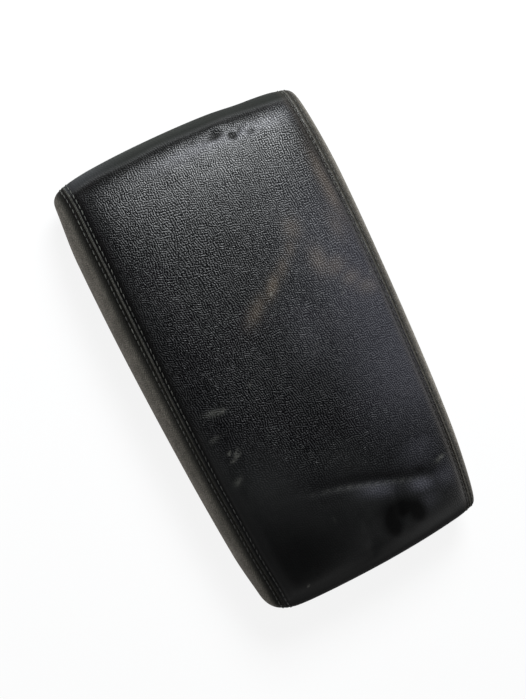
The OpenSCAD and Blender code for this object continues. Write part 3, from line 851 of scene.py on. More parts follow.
@dataclass(frozen=True)
class LeatherFinish:
    """Grained, coated leather: dark pits, dust, wear, and painted shade, highlights and sheen."""

    name: str
    tops: Colour
    pits: Colour
    worn: Colour
    dust_and_light_tone: Colour
    pebble: float = 690.0
    turn: float = -5.0
    drawn: float = 0.8
    depth: float = 0.000078
    roughness: float = 0.395
    worn_roughness: float = 0.4
    mottle: float = 0.0
    gloss: float = 0.76
    # Violet-grey of the haze mark: partly a real haze on the coating, partly painted sheen where the leather
    # catches the lamp.
    sheen_veil: Colour = tone(80, 80, 88)
    faded: Colour = tone(41, 44, 42)
    # Light colour of the scuffs, also used as a painted highlight on the seam lips, the crease's edge and the
    # rear crest.
    rubbed: Colour = tone(150, 150, 142)
    # Near-black of the shade mark: painted shade in channels, dents, creases, folds, the left seam, front end
    # and rear roll; also dark blotches.
    shade_and_grime: Colour = tone(4, 4, 4)
    push: float = 0.016
    push_scale: float = 11.0
    most_smooth: float = 0.76
    looseness: float = 0.0004

    def material(self) -> Material:
        """Build the material, which reads marks of wear, dust, painted light, shade and sheen.

        Returns:
            The material.
        """
        board = Board(self.name)
        names = ("smooth", "dust_and_light", "scuff_and_highlight", "shade", "haze_and_sheen", "matt", "faded")
        marks = {name: board.mark(name) for name in names}
        fleck = board.span(board.noise(1500.0, 1.0), 0.35, 0.62, 0.45, 1.0)
        grain = board.grain(self.pebble, board.lay(self.turn, self.push, self.push_scale), self.drawn)
        height = board.times(grain, fleck)
        tops = board.span(height, 0.12, 0.85)
        patchy = board.span(board.noise(45.0, 5.0, 0.68), 0.3, 0.7)
        kept = self.kept(board, marks["smooth"])
        loose = board.raised(board.noise(80.0, 5.0, 0.6), self.looseness, 0.2)
        return board.shade(
            Base_Color=self.coloured(board, marks, tops, patchy),
            Roughness=self.roughened(board, marks, patchy),
            Normal=board.raised(height, self.depth, kept, loose),
            Specular_Tint=self.sheen(board, marks, tops, kept),
            Specular_IOR_Level=self.gloss)

    def kept(self, board: Board, smooth: Socket) -> Socket:
        """Find how much of the grain's height use has left.

        Args:
            board: The material's board.
            smooth: The mark of worn places.

        Returns:
            The share that is left.
        """
        thin = board.times(board.span(board.noise(150.0, 4.0, 0.7), 0.3, 0.7), 0.1)
        return board.math("SUBTRACT", board.rest(board.times(smooth, self.most_smooth)), thin, True)

    def coloured(self, board: Board, marks: dict[str, Socket], tops: Socket, patchy: Socket) -> Socket:
        """Lay the grain, wear, dust, stains, blotches and painted light, shade and sheen over each other.

        Args:
            board: The material's board.
            marks: The marks, by name.
            tops: How high the grain stands.
            patchy: Soft patches.

        Returns:
            The colour.
        """
        # The pits are painted darker than the tops: partly dirt in the hollows, partly painted shade there.
        colour = board.blend(tops, self.pits, self.tops)
        colour = board.blend(board.times(marks["smooth"], 0.9), colour, self.worn)
        colour = board.blend(board.times(marks["faded"], 0.85), colour, self.faded)
        on_tops = board.plus(0.4, board.times(tops, 0.6))
        film = board.times(marks["dust_and_light"], board.plus(0.66, board.times(patchy, 0.38)))
        specks = board.span(board.noise(620.0, 4.0, 0.75), 0.36, 0.6, 1.0 - self.mottle, 1.0)
        film = board.times(board.times(board.times(film, specks), on_tops), 1.25, True)
        colour = board.blend(film, colour, self.dust_and_light_tone)
        # Haze, partly real and partly painted sheen and highlight: the crease's lit side, the rear crest, the
        # rear-left roll.
        colour = board.blend(board.times(marks["haze_and_sheen"], board.times(on_tops, 0.75)), colour, self.sheen_veil)
        # Painted shade, and dark blotches: the shade mark blends to the near-black colour.
        colour = board.blend(board.times(marks["shade"], 0.92), colour, self.shade_and_grime)
        # Scuffs, and painted highlights on the seam lips, the crease's edge and the rear crest, in the light
        # colour.
        rub_and_highlight = board.times(marks["scuff_and_highlight"], board.span(board.noise(700.0, 3.0, 0.7), 0.35, 0.6, 0.25, 1.0))
        return board.blend(board.times(rub_and_highlight, 0.62), colour, self.rubbed)

    def roughened(self, board: Board, marks: dict[str, Socket], patchy: Socket) -> Socket:
        """Find how rough the coating is.

        Args:
            board: The material's board.
            marks: The marks, by name.
            patchy: Soft patches.

        Returns:
            The roughness.
        """
        rough = board.plus(self.roughness, board.times(marks["dust_and_light"], 0.18))
        rough = board.plus(rough, board.times(marks["smooth"], self.worn_roughness - self.roughness))
        rough = board.plus(rough, board.times(patchy, 0.04))
        return board.plus(rough, board.times(marks["matt"], 0.55), True)

    def sheen(self, board: Board, marks: dict[str, Socket], tops: Socket, kept: Socket) -> Socket:
        """Tint the reflection: full on open grain, little in pits and under painted shade, little on matt
        places.

        Args:
            board: The material's board.
            marks: The marks, by name.
            tops: How high the grain stands.
            kept: How much of its height is left.

        Returns:
            The tint.
        """
        clear = board.rest(board.times(board.rest(tops), kept))
        # Reflection dulled under the painted shade and on matt places, the shadowed left seam among them.
        dull = board.most(board.times(marks["shade"], 0.85), board.times(marks["matt"], 0.92))
        return board.blend(board.times(clear, board.rest(dull)), tone(24, 24, 24), (1.0, 1.0, 1.0))


@dataclass(frozen=True)
class ThreadFinish:
    """Twisted sewing thread, painted darker towards the front as shade."""

    name: str = "sewing_thread"
    light: Colour = tone(66, 67, 61)
    dark: Colour = tone(26, 26, 24)

    def material(self) -> Material:
        """Build the material.

        Returns:
            The material.
        """
        board = Board(self.name)
        fibre = board.noise(4200.0, 2.0)
        along = board.span(board.noise(190.0, 2.0), 0.35, 0.65)
        parts = board.add("ShaderNodeSeparateXYZ")
        board.feed(parts.inputs["Vector"], board.place)
        # Painted shade: the thread is darker towards the front, away from the lamp at the rear.
        rear = board.span(parts.outputs["Y"], -0.09, 0.04, 0.15, 1.0)
        colour = board.blend(board.times(along, rear), self.dark, self.light)
        return board.shade(Base_Color=colour, Roughness=0.62, Normal=board.raised(fibre, 0.0001, 0.6))


@dataclass(frozen=True)
class PlasticFinish:
    """Moulded plastic with a fine eroded grain."""

    name: str
    colour: Colour
    grain: float = 1500.0
    depth: float = 0.00006
    roughness: float = 0.5
    edge_r: float = 0.0004

    def material(self) -> Material:
        """Build the material.

        Returns:
            The material.
        """
        board = Board(self.name)
        grain = board.noise(self.grain, 3.0, 0.6)
        clouds = board.span(board.noise(28.0, 4.0, 0.6), 0.3, 0.7)
        rubbed = tuple(min(1.0, channel * 1.7 + 0.01) for channel in self.colour)
        colour = board.blend(board.times(clouds, 0.35), self.colour, rubbed)
        rough = board.plus(self.roughness, board.times(clouds, 0.12))
        normal = board.raised(grain, self.depth, 0.7, board.rounded(self.edge_r))
        return board.shade(Base_Color=colour, Roughness=rough, Normal=normal)


@dataclass(frozen=True)
class MetalFinish:
    """Plated steel with rolling marks, light scratches and dull patches."""

    name: str
    colour: Colour
    roughness: float = 0.34
    streak: float = 900.0
    depth: float = 0.00003
    edge_r: float = 0.00025

    def material(self) -> Material:
        """Build the material.

        Returns:
            The material.
        """
        board = Board(self.name)
        stretch = board.add("ShaderNodeMapping")
        board.feed(stretch.inputs["Vector"], board.place)
        stretch.inputs["Scale"].default_value = (0.06, 1.0, 1.0)
        streaks = board.noise(self.streak, 4.0, 0.6, stretch.outputs[0])
        dull = board.span(board.noise(70.0, 5.0, 0.65), 0.35, 0.7)
        darker = tuple(channel * 0.55 for channel in self.colour)
        colour = board.blend(board.times(dull, 0.25), self.colour, darker)
        rough = board.plus(self.roughness, board.times(dull, 0.1))
        normal = board.raised(streaks, self.depth, 0.5, board.rounded(self.edge_r))
        return board.shade(Base_Color=colour, Metallic=1.0, Roughness=rough, Normal=normal)


@dataclass(frozen=True)
class RubberFinish:
    """Dull moulded rubber."""

    name: str = "stop_rubber_finish"
    colour: Colour = tone(28, 28, 28)

    def material(self) -> Material:
        """Build the material.

        Returns:
            The material.
        """
        board = Board(self.name)
        grain = board.noise(2200.0, 2.0)
        bloom = board.span(board.noise(120.0, 3.0), 0.4, 0.7)
        colour = board.blend(board.times(bloom, 0.4), self.colour, tone(60, 59, 56))
        return board.shade(Base_Color=colour, Roughness=0.8, Normal=board.raised(grain, 0.00005, 0.5))


@dataclass(frozen=True)
class FoamFinish:
    """Moulded foam with open pores."""

    name: str = "foam_finish"
    colour: Colour = tone(214, 196, 150)

    def material(self) -> Material:
        """Build the material.

        Returns:
            The material.
        """
        board = Board(self.name)
        pores = board.add("ShaderNodeTexVoronoi")
        board.feed(pores.inputs["Vector"], board.place)
        pores.inputs["Scale"].default_value = 900.0
        holes = board.span(pores.outputs["Distance"], 0.1, 0.5)
        # The pores are painted darker than the foam: painted shade in the pores.
        colour = board.blend(holes, tone(168, 148, 104), self.colour)
        return board.shade(Base_Color=colour, Roughness=0.95, Normal=board.raised(holes, 0.0003, 0.8))


TOP_LEATHER = LeatherFinish(
    "top_leather", tops=tone(13, 14, 16), pits=tone(3, 3, 4), worn=tone(6, 7, 7),
    dust_and_light_tone=tone(96, 84, 70))
# The side panels are the top's black leather; their lighter colours are painted light caught at a grazing
# view, with dust.
SIDE_LEATHER = LeatherFinish(
    "side_leather", tops=tone(66, 65, 60), pits=tone(28, 28, 25), worn=tone(46, 46, 42),
    dust_and_light_tone=tone(160, 153, 143), faded=tone(70, 69, 64), pebble=900.0, depth=0.00008, roughness=0.66,
    worn_roughness=0.62, mottle=0.5, gloss=0.3)


# Upholstery


@dataclass(frozen=True)
class SeamProfile:
    """Section of a twin-stitched seam: a closed fold in a channel between two rows of stitches."""

    crevice: float = 0.6
    crevice_width: float = 0.22
    lip: float = 0.42
    lip_at: float = 0.36
    lip_width: float = 0.42
    lip_light_width: float = 0.5
    trough: float = 0.35
    trough_at: float = 1.5
    trough_width: float = 0.8
    stitch_at: float = 2.65
    stitch_groove: float = 0.3
    stitch_groove_width: float = 0.8
    stitch_pull: float = 0.3
    outer_trough_past: float = 1.4
    outer_trough_width: float = 1.5
    pucker: float = 0.09
    pucker_past: float = 2.2
    pucker_width: float = 2.4
    valley: float = 1.3
    valley_width: float = 8.0
    pitch: float = 4.2
    pull_out: float = 0.75
    left_drift: tuple[tuple[float, float], ...] = (
        (-156, -0.3), (-60, -0.1), (-30, -0.4), (5, -1.05), (50, -1.6), (90, -1.9), (110, -1.5),
        (130, -0.8), (148, 0.5))
    right_drift: tuple[tuple[float, float], ...] = (
        (-156, 1.5), (-110, 1.4), (-60, 0.9), (-20, 0.9), (5, 1.4), (50, 1.2), (100, 0.8),
        (130, 1.2), (156, 1.2))

    def drift(self, side: Side, y: Array | float) -> Array:
        """How far outboard of its drawn place a seam has moved at y, in millimetres."""
        places, moves = zip(*(self.left_drift if side is Side.LEFT else self.right_drift))
        return np.interp(y, places, moves) + self.pull_out

    def relief(self, s: Array, run: Array) -> Array:
        """Height added to the pad near a seam, in millimetres.

        Args:
            s: Distance from the fold.
            run: Distance run along the seam.

        Returns:
            The height at each point.
        """
        height = -self.valley * bump(s, self.valley_width)
        height += self.lip * bump(s - self.lip_at, self.lip_width)
        height -= self.crevice * bump(s, self.crevice_width)
        height -= self.trough * bump(s - self.trough_at, self.trough_width)
        wave = np.cos(2 * np.pi * run / self.pitch)
        pull = 1 - self.stitch_pull + self.stitch_pull * wave
        height -= self.stitch_groove * pull * bump(s - self.stitch_at, self.stitch_groove_width)
        height -= self.trough * bump(s - self.stitch_at - self.outer_trough_past, self.outer_trough_width)
        return height - self.pucker * wave * bump(s - self.stitch_at - self.pucker_past, self.pucker_width)

    def shade_and_grime(self, s: Array) -> Array:
        """Painted shade of the channel at a distance from the fold, 0 to 1; also dust by the right seam."""
        return np.clip(step(s, 0.14, 0.45) * (1 - step(s, 3.6, 9.5)), 0, 1)

    def edge(self, s: Array) -> Array:
        """How far the fold's lip is painted light, 0 to 1: a painted highlight, with some rubbing."""
        return bump(s - self.lip_at, self.lip_light_width)


class Cushion:
    """Settles the leather over its foam with a cloth simulation on a coarse sheet."""

    leather: tuple[tuple[str, float], ...] = (
        ("quality", 6), ("mass", 0.4), ("tension_stiffness", 30), ("compression_stiffness", 30),
        ("shear_stiffness", 12), ("bending_stiffness", 2.0))

    def __init__(self, form: PadForm, rows: int = 90, cols: int = 44) -> None:
        """Prepare the sheet.

        Args:
            form: The padded surface.
            rows: Stations along the sheet.
            cols: Stations across the sheet.
        """
        self.form = form
        self.us = np.linspace(-1, 1, rows)
        self.vs = np.linspace(-form.seam_share, form.seam_share, cols)
        self.swell = np.zeros((rows, cols))

    def settle(self, frames: int = 18, pressure: float = 2.6, cap: float = 1.6) -> None:
        """Let air pressure swell the sheet between its sewn edges and keep how far it rose.

        Args:
            frames: Frames to simulate.
            pressure: Pressure under the sheet.
            cap: Furthest that a point may move, in millimetres.
        """
        base = self.form.points(self.us[:, None], self.vs[None, :])
        normals = grid_normals(base)
        pinned = np.zeros(base.shape[:2])
        pinned[:, [0, -1]] = 1
        pinned[[0, 1, -2, -1], :] = 1
        obj = sheet_mesh("cover_settling", base, {})
        turned_out(obj)
        group = obj.vertex_groups.new(name="sewn")
        order = self.order(obj, base)
        for index, (row, col) in enumerate(order):
            if pinned[row, col]:
                group.add([index], 1.0, "REPLACE")
        cloth = obj.modifiers.new("settling", "CLOTH")
        for key, value in self.leather:
            setattr(cloth.settings, key, value)
        cloth.settings.vertex_group_mass = "sewn"
        cloth.settings.use_pressure = True
        cloth.settings.uniform_pressure_force = pressure
        cloth.settings.effector_weights.gravity = 0
        cloth.collision_settings.use_collision = False
        cloth.point_cache.frame_start = 1
        cloth.point_cache.frame_end = frames
        scene = bpy.context.scene
        for frame_number in range(1, frames + 1):
            scene.frame_set(frame_number)
        bpy.context.view_layer.update()
        shaped = obj.evaluated_get(bpy.context.evaluated_depsgraph_get())
        for index, (row, col) in enumerate(order):
            moved = np.array(shaped.data.vertices[index].co) / MM - base[row, col]
            self.swell[row, col] = float(np.clip(moved @ normals[row, col], -cap, cap))
        bpy.data.objects.remove(obj, do_unlink=True)
        scene.frame_set(1)
        LOG.info("leather settled: rises up to %.2f mm", self.swell.max())

    @staticmethod
    def order(obj: Piece, base: Array) -> list[tuple[int, int]]:
        """Find each vertex's row and column in the sheet.

        Args:
            obj: The sheet.
            base: The points it was laid over.

        Returns:
            A row and a column for each vertex.
        """
        flat = base.reshape(-1, 3)
        cols = base.shape[1]
        found = []
        for index, vert in enumerate(obj.data.vertices):
            place = np.array(vert.co) / MM
            here = np.abs(flat[index] - place).max() < 0.01
            nearest = index if here else int(np.abs(flat - place).sum(1).argmin())
            found.append(divmod(nearest, cols))
        return found

    def rise(self, u: Array, v: Array) -> Array:
        """How far the settled leather stands over the plain form, in millimetres.

        Args:
            u: Place along the pad.
            v: Place across the pad.

        Returns:
            The rise at each point.
        """
        row = np.interp(u, self.us, np.arange(len(self.us)))
        col = np.interp(v, self.vs, np.arange(len(self.vs)))
        row, col = np.broadcast_arrays(row, col)
        r0 = np.clip(row.astype(int), 0, len(self.us) - 2)
        c0 = np.clip(col.astype(int), 0, len(self.vs) - 2)
        fr, fc = row - r0, col - c0
        low = self.swell[r0, c0] * (1 - fc) + self.swell[r0, c0 + 1] * fc
        high = self.swell[r0 + 1, c0] * (1 - fc) + self.swell[r0 + 1, c0 + 1] * fc
        return low * (1 - fr) + high * fr


@dataclass
class Upholstery:
    """The sewn leather cover: top panel, side panels, stitches and turned hem."""

    form: PadForm
    seam: SeamProfile
    wear: Wear
    cushion: Cushion
    rows: int = 300
    middle_cols: int = 42
    side_cols: int = 34
    thickness: float = 1.1
    thread_r: float = 0.36
    stitch_length: float = 3.6
    close: tuple[float, ...] = tuple(0.22 * i for i in range(16)) + tuple(3.4 + 0.42 * i for i in range(12))
    hem_width: float = 12.0
    samples: int = 1400
    seam_sample: int = 800
    close_room: float = 16.0
    end_gap: float = 4.0
    thread_lift: float = 0.55
    slant: float = 0.10
    slant_change: float = 0.07
    thread_faces: int = 6
    hem_steps: int = 70
    hem_cols: int = 10
    pleat_depth: float = 0.28
    pleat_turns: float = 1.9
    top_face: tuple[float, float] = (30.0, 40.0)
    # The rear highlight painted along a line across the top, and the painted dark band behind it, where the
    # surface turns past the lamp.
    highlight_at: float = 0.499
    highlight_width: float = 0.027
    behind_at: float = 0.555

    def section(self, side: Side, outwards: bool, cols: int) -> tuple[Array, Array, Array]:
        """Lay stations from the seam to the middle or to the hem, close together by the seam.

        Args:
            side: Which seam.
            outwards: Whether to go out to the hem and not in to the middle.
            cols: Number of wide steps.

        Returns:
            The places u and v of the stations, and their distance from the seam.
        """
        us = np.linspace(-1, 1, self.rows)
        share = np.linspace(0, 1, self.samples)
        close = np.array(self.close)
        vs, distances = [], []
        for u in us:
            line = self.form.points(np.full((1, 1), u), share[None, :] * side.value)
            length = arc_lengths(line, 1)[0]
            seam_at = np.interp(self.form.seam_share, share, length)
            seam_y = line[0, self.seam_sample, 1]
            seam_at += self.seam.drift(side, seam_y) * self.end_fade(np.array([u]))[0]
            last = length[-1] - seam_at if outwards else seam_at
            near = close * min(1.0, last / self.close_room)
            away = np.concatenate([near, np.linspace(near[-1], last, cols + 1)[1:]])
            vs.append(np.interp(seam_at + away if outwards else seam_at - away, length, share) * side.value)
            distances.append(away)
        vs = np.array(vs)
        return np.broadcast_to(us[:, None], vs.shape), vs, np.array(distances)

    @staticmethod
    def end_fade(us: Array) -> Array:
        """How much of a seam's relief is kept, which ends at the hems."""
        return step(1 - np.abs(us), 0.0, 0.06)

    @staticmethod
    def tight(base: Array) -> Array:
        """How deep a seam may sink: fully on top, and little on the walls, where leather is drawn tight."""
        return 0.3 + 0.7 * step(base[..., 2], 34, 51)

    @staticmethod
    def slack(base: Array) -> Array:
        """Long low waves in the leather, in millimetres.

        Args:
            base: Points of the pad.

        Returns:
            The height at each point.
        """
        x, y = base[..., 0], base[..., 1]
        waves = np.sin(x / 31 + 0.6) * np.sin(y / 47 + 1.1) + 0.6 * np.sin(x / 17 - y / 23)
        return 0.16 * waves

    @staticmethod
    def ends(us: Array) -> Array:
        """How near a place is to either end of the pad, where the grain is whole again."""
        return step(np.abs(us), 0.72, 0.88)

    @staticmethod
    def leftness(x: Array) -> Array:
        """How far to the left a place is, where the seam lies in shadow."""
        return step(-x, -20, 40)

    def roll(self, x: Array, us: Array) -> Array:
        """How far a place is on the smooth faded roll of the rear edge."""
        return step(us + 0.004 * np.sin(x / 8), 0.55, 0.6) * (1 - 0.85 * self.ends(us))

    def top_points(self) -> tuple[Array, Marks]:
        """Shape the top panel.

        Returns:
            Its points and its marks.
        """
        parts = [self.section(side, False, self.middle_cols) for side in Side]
        us, vs, s = (np.concatenate([left, right[:, ::-1][:, 1:]], 1) for left, right in zip(*parts))
        base = self.form.points(us, vs)
        run = arc_lengths(base, 0)
        run = np.where(vs < 0, run[:, :1], run[:, -1:])
        height = self.seam.relief(s, run) * self.end_fade(us) * self.tight(base)
        height += self.cushion.rise(us, vs) * step(s, 4, 16)
        height += self.wear.relief(base) * step(base[..., 2], *self.top_face)
        height += self.slack(base) * step(s, 5, 20)
        points = base + grid_normals(base) * height[..., None]
        marks = {**self.top_wear(base, us, s), "shade": self.top_shade(base, us, s)}
        return points, {key: np.clip(value, 0, 1) for key, value in marks.items()}

    def top_wear(self, base: Array, us: Array, s: Array) -> Marks:
        """Mark where the top is smooth, matt, faded, dusty, scuffed and hazed, and where highlights and sheen
        are painted.

        Args:
            base: Points of the plain form.
            us: Their places along the pad.
            s: Their distances from the nearer seam.

        Returns:
            The marks, by name.
        """
        x, y = base[..., 0], base[..., 1]
        wear, ends, left, roll = self.wear, self.ends(us), self.leftness(x), self.roll(x, us)
        dented = wear.cover(wear.dents, base)
        # A painted highlight along the rear crest, laid on as haze and a little scuff.
        highlight_span = (1 - step(-x, -10, 48)) * (1 - step(x, 55, 78))
        crest = bump(us - self.highlight_at, self.highlight_width) * highlight_span * (1 - 0.8 * dented)
        front_matt = step(-us, 0.5, 0.6) * (1 - 0.6 * ends)
        # The left seam, which lies in shadow, is made matt so that it reflects less: painted shade.
        left_seam_matt_shade = 0.5 * (1 - step(s, 4, 15)) * left
        # The fold's lip painted light, more towards the rear, where the lamp is: a painted highlight with
        # some rubbing.
        lip_highlight_and_rub = (0.05 + 0.45 * step(y, -40, 60)) * self.seam.edge(s)
        # Violet-grey over the right of the top: partly haze, partly painted sheen from the lamp on that side.
        right_sheen_and_haze = 0.7 * step(x, 5, 70) * step(y, -118, -40) * (1 - step(y, 30, 120))
        return {
            "smooth": np.maximum(wear.smoothness(base) * (1 - 0.8 * ends), roll),
            "matt": np.maximum.reduce([roll, front_matt, left_seam_matt_shade]),
            "faded": roll,
            # Dust: real stains, with lighter dust along the right seam that is partly painted light, as the
            # left seam lies in shadow.
            "dust_and_light": np.maximum.reduce([
                0.62 * wear.cover(wear.stains, base), 0.04 * roll, 0.03 * step(-us, 0.58, 0.8),
                0.2 * self.seam.shade_and_grime(s) * (1 - left)]),
            # Scuffs, and painted highlights: the seam lip, a thin line on the crease's edge and the rear
            # crest.
            "scuff_and_highlight": np.maximum.reduce([
                wear.cover(wear.scuffs, base), lip_highlight_and_rub, 0.08 * wear.crease.line(base, 0.9, -0.6),
                0.15 * crest]),
            # Haze, with painted sheen and highlight: the rear crest, the rear-left roll and the right of the
            # top.
            "haze_and_sheen": np.maximum.reduce([
                wear.cover(wear.sheens_and_hazes, base), 0.5 * roll * step(-x, 30, 75), crest, right_sheen_and_haze]),
        }

    def top_shade(self, base: Array, us: Array, s: Array) -> Array:
        """Mark where the top is painted dark: painted shade, and dark blotches.

        Args:
            base: Points of the plain form.
            us: Their places along the pad.
            s: Their distances from the nearer seam.

        Returns:
            How dark each point is.
        """
        x, y = base[..., 0], base[..., 1]
        wear, ends, left, roll = self.wear, self.ends(us), self.leftness(x), self.roll(x, us)
        # Painted shade in the seam channel, darker on the left, which lies in shadow.
        channel = self.seam.shade_and_grime(s) * (0.55 + 0.45 * left)
        # A painted shadow over the leather by the left seam, wider towards the front.
        soft = (0.5 + 0.4 * step(-y, 0, 110)) * bump(s - 6, 9 + 4 * step(-y, 20, 120)) * left
        folded = 0.75 * (1 - step(s, 0.7, 1.3)) * step(-y, -20, 70) * left
        # Painted shade at the front, darker on the left, where the lamp's reflection fades.
        shaded_front_left = 0.82 * step(-us, 0.24, 0.44) * (1 - step(x, -50, 10))
        shaded_front = (0.92 - 0.4 * step(x, -10, 50)) * step(-us, 0.47, 0.55)
        # A painted dark band behind the rear highlight, where the surface turns past the lamp's reflection.
        behind_width = 0.023 + 0.017 * step(-x, 20, 60)
        behind = 0.88 * bump(us - self.behind_at, behind_width) * (1 - 0.7 * step(x, 55, 80))
        # Dents, the crease's rear valley and the fold painted dark as shade; the blotches are dark marks.
        dark = np.maximum.reduce([
            channel, soft, folded, shaded_front_left, shaded_front, behind, wear.cover(wear.blotches, base),
            0.9 * wear.cover(wear.dents, base), 0.55 * wear.crease.line(base, 4.2, 4.0),
            0.5 * wear.fold.line(base, 2.0)])
        # The front end painted dark as shade, as it faces away from the lamp.
        front = 0.95 * step(-us, 0.56, 0.68) * (1 - 0.85 * ends)
        # The rear roll painted darker as it turns away: painted shade.
        turned = roll * np.maximum(0.4 * step(x, -40, 40), 0.6 * (1 - step(us, 0.56, 0.67)))
        return np.maximum.reduce([
            dark * (1 - 0.5 * roll) * (1 - 0.6 * ends * step(s, 3, 8)), front, turned])

    def side_points(self, side: Side) -> tuple[Array, Marks]:
        """Shape a side panel.

        Args:
            side: Which side.

        Returns:
            Its points and its marks.
        """
        us, vs, s = self.section(side, True, self.side_cols)
        base = self.form.points(us, vs)
        normals = grid_normals(base) * side.value
        run = arc_lengths(base, 0)[:, :1]
        height = self.seam.relief(s, run) * self.end_fade(us) * self.tight(base)
        y, z = base[..., 1], base[..., 2]
        height += 0.14 * np.sin(y / 26 + side.value) * np.sin(z / 9) * step(s, 6, 16)
        points = base + normals * height[..., None]
        marks = self.side_marks(side is Side.LEFT, y, s)
        return points, {key: np.clip(value * np.ones_like(s), 0, 1) for key, value in marks.items()}

    def side_marks(self, left: bool, y: Array, s: Array) -> dict[str, Array | float]:
        """Mark the wear and dust of a side panel, and its painted light and shade: dark by the seam, lighter
        on the wall.

        Args:
            left: Whether it is the left one.
            y: Places of its points along the armrest.
            s: Their distances from the seam.

        Returns:
            The marks, by name.
        """
        # The dust ramp is also painted light: dark by the seam, lighter further out, and the right wall,
        # facing the lamp, lighter.
        if left:
            lit_wall = 0.6 * step(s - 1.6 * step(y, 0, 60), 3.6, 9.5) + 0.4 * step(s, 7.0, 22)
            dust_and_light = 0.82 - 0.12 * step(-y, 20, 120)
            channel = 0.85 + 0.1 * step(y, 0, 60)
            folded = 0.75 * (1 - step(s, 0.7, 1.3)) * step(-y, -20, 70)
        else:
            lit_wall = 0.35 + 0.65 * step(s, 1.5, 6.0)
            dust_and_light = 0.62 + 0.28 * step(-y, -60, 110)
            channel, folded = 0.75, 0.0
        return {
            "smooth": 0.35 + 0.2 * step(-y, 40, 120),
            "dust_and_light": 0.05 + dust_and_light * lit_wall,
            "scuff_and_highlight": 0.1 * self.seam.edge(s),
            # Painted shade in the seam channel and the fold.
            "shade": np.maximum(self.seam.shade_and_grime(s) * channel, folded),
            "haze_and_sheen": 0.0,
            "matt": 0.5,
            "faded": 0.3,
        }

    def dressed(self, obj: Piece, material: Material, slot: str, *nodes: str) -> Piece:
        """Give a piece its finish and its place in the part.

        Args:
            obj: The piece.
            material: Its finish.
            slot: The record's material slot; not used.
            *nodes: CAD nodes that it stands for.

        Returns:
            The piece.
        """
        obj.data.materials.append(material)
        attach(obj, LID)
        if nodes:
            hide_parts(*nodes)
        LOG.info("%s: %d faces", obj.name, len(obj.data.polygons))
        return obj

    def thicken(self, obj: Piece) -> None:
        """Give a sheet the leather's thickness, on its inner side.

        Args:
            obj: The sheet.
        """
        solid = obj.modifiers.new("leather_thickness", "SOLIDIFY")
        solid.thickness = self.thickness * MM
        solid.offset = -1
        solid.use_even_offset = False

    def build(self) -> None:
        """Build every piece of the cover."""
        top_skin, side_skin = TOP_LEATHER.material(), SIDE_LEATHER.material()
        thread = ThreadFinish().material()
        points, marks = self.top_points()
        cover = sheet_mesh("top_cover", points, marks)
        turned_out(cover)
        self.thicken(cover)
        self.dressed(cover, top_skin, "leather_top", "top_panel")
        self.stitch_row("top_left", points, thread)
        self.stitch_row("top_right", points[:, ::-1], thread)
        for side in Side:
            word = side.name.lower()
            points, marks = self.side_points(side)
            panel = sheet_mesh(f"side_cover_{word}", points, marks)
            turned_out(panel)
            self.thicken(panel)
            self.dressed(panel, side_skin, "leather_side", f"side_panel_{word}")
            self.stitch_row(f"side_{word}", points, thread)
        self.build_hem(side_skin)

    def stitch_row(self, word: str, points: Array, thread: Material) -> None:
        """Sew a row of stitches along the first column's seam.

        Args:
            word: Name of the row.
            points: A panel's points, with the seam at the first column.
            thread: The thread's finish.
        """
        at = float(np.interp(self.seam.stitch_at, self.close, np.arange(len(self.close))))
        col, part = int(at), at - int(at)
        line = points[:, col] * (1 - part) + points[:, col + 1] * part
        outward = grid_normals(points)[:, col]
        if np.sum(outward * (line - np.array(INSIDE) / MM)) < 0:
            outward = -outward
        self.sew(f"stitches_{word}", line, outward, thread)

    def sew(self, name: str, line: Array, outward: Array, thread: Material) -> None:
        """Lay stitches along a line.

        Args:
            name: Name of the row.
            line: Points of the line, in millimetres.
            outward: Surface normals at those points.
            thread: The thread's finish.
        """
        length = arc_lengths(line[:, None, :], 0)[:, 0]
        bm = bmesh.new()
        shape = Matrix.Diagonal((self.thread_r, self.stitch_length / 2, self.thread_r * 0.85, 1))
        upright = Matrix.Rotation(math.pi / 2, 4, "X")

        def at(run: float, values: Array) -> Array:
            """Read a row of points or normals at a distance run along the line."""
            return np.array([np.interp(run, length, values[:, axis]) for axis in range(3)])

        for index in range(int((length[-1] - 2 * self.end_gap) / self.seam.pitch)):
            middle = self.end_gap + (index + 0.5) * self.seam.pitch
            start, end = (at(middle + way * self.stitch_length / 2, line) for way in (-1, 1))
            normal = at(middle, outward)
            centre = (start + end) / 2 + normal * self.thread_r * self.thread_lift
            forward = Vector(end - start).normalized()
            up = Vector(normal).normalized()
            slant = self.slant + math.sin(index * 12.9898) * self.slant_change
            forward = (forward + forward.cross(up) * slant).normalized()
            sideways = forward.cross(up).normalized()
            turned = Matrix((sideways, forward, forward.cross(sideways) * -1)).transposed().to_4x4()
            place = Matrix.Translation(Vector(centre) * MM) @ turned @ Matrix.Scale(MM, 4) @ shape
            bmesh.ops.create_uvsphere(bm, u_segments=self.thread_faces, v_segments=self.thread_faces,
                                      radius=1.0, matrix=place @ upright)
        self.dressed(finished(name, bm), thread, "leather_side")

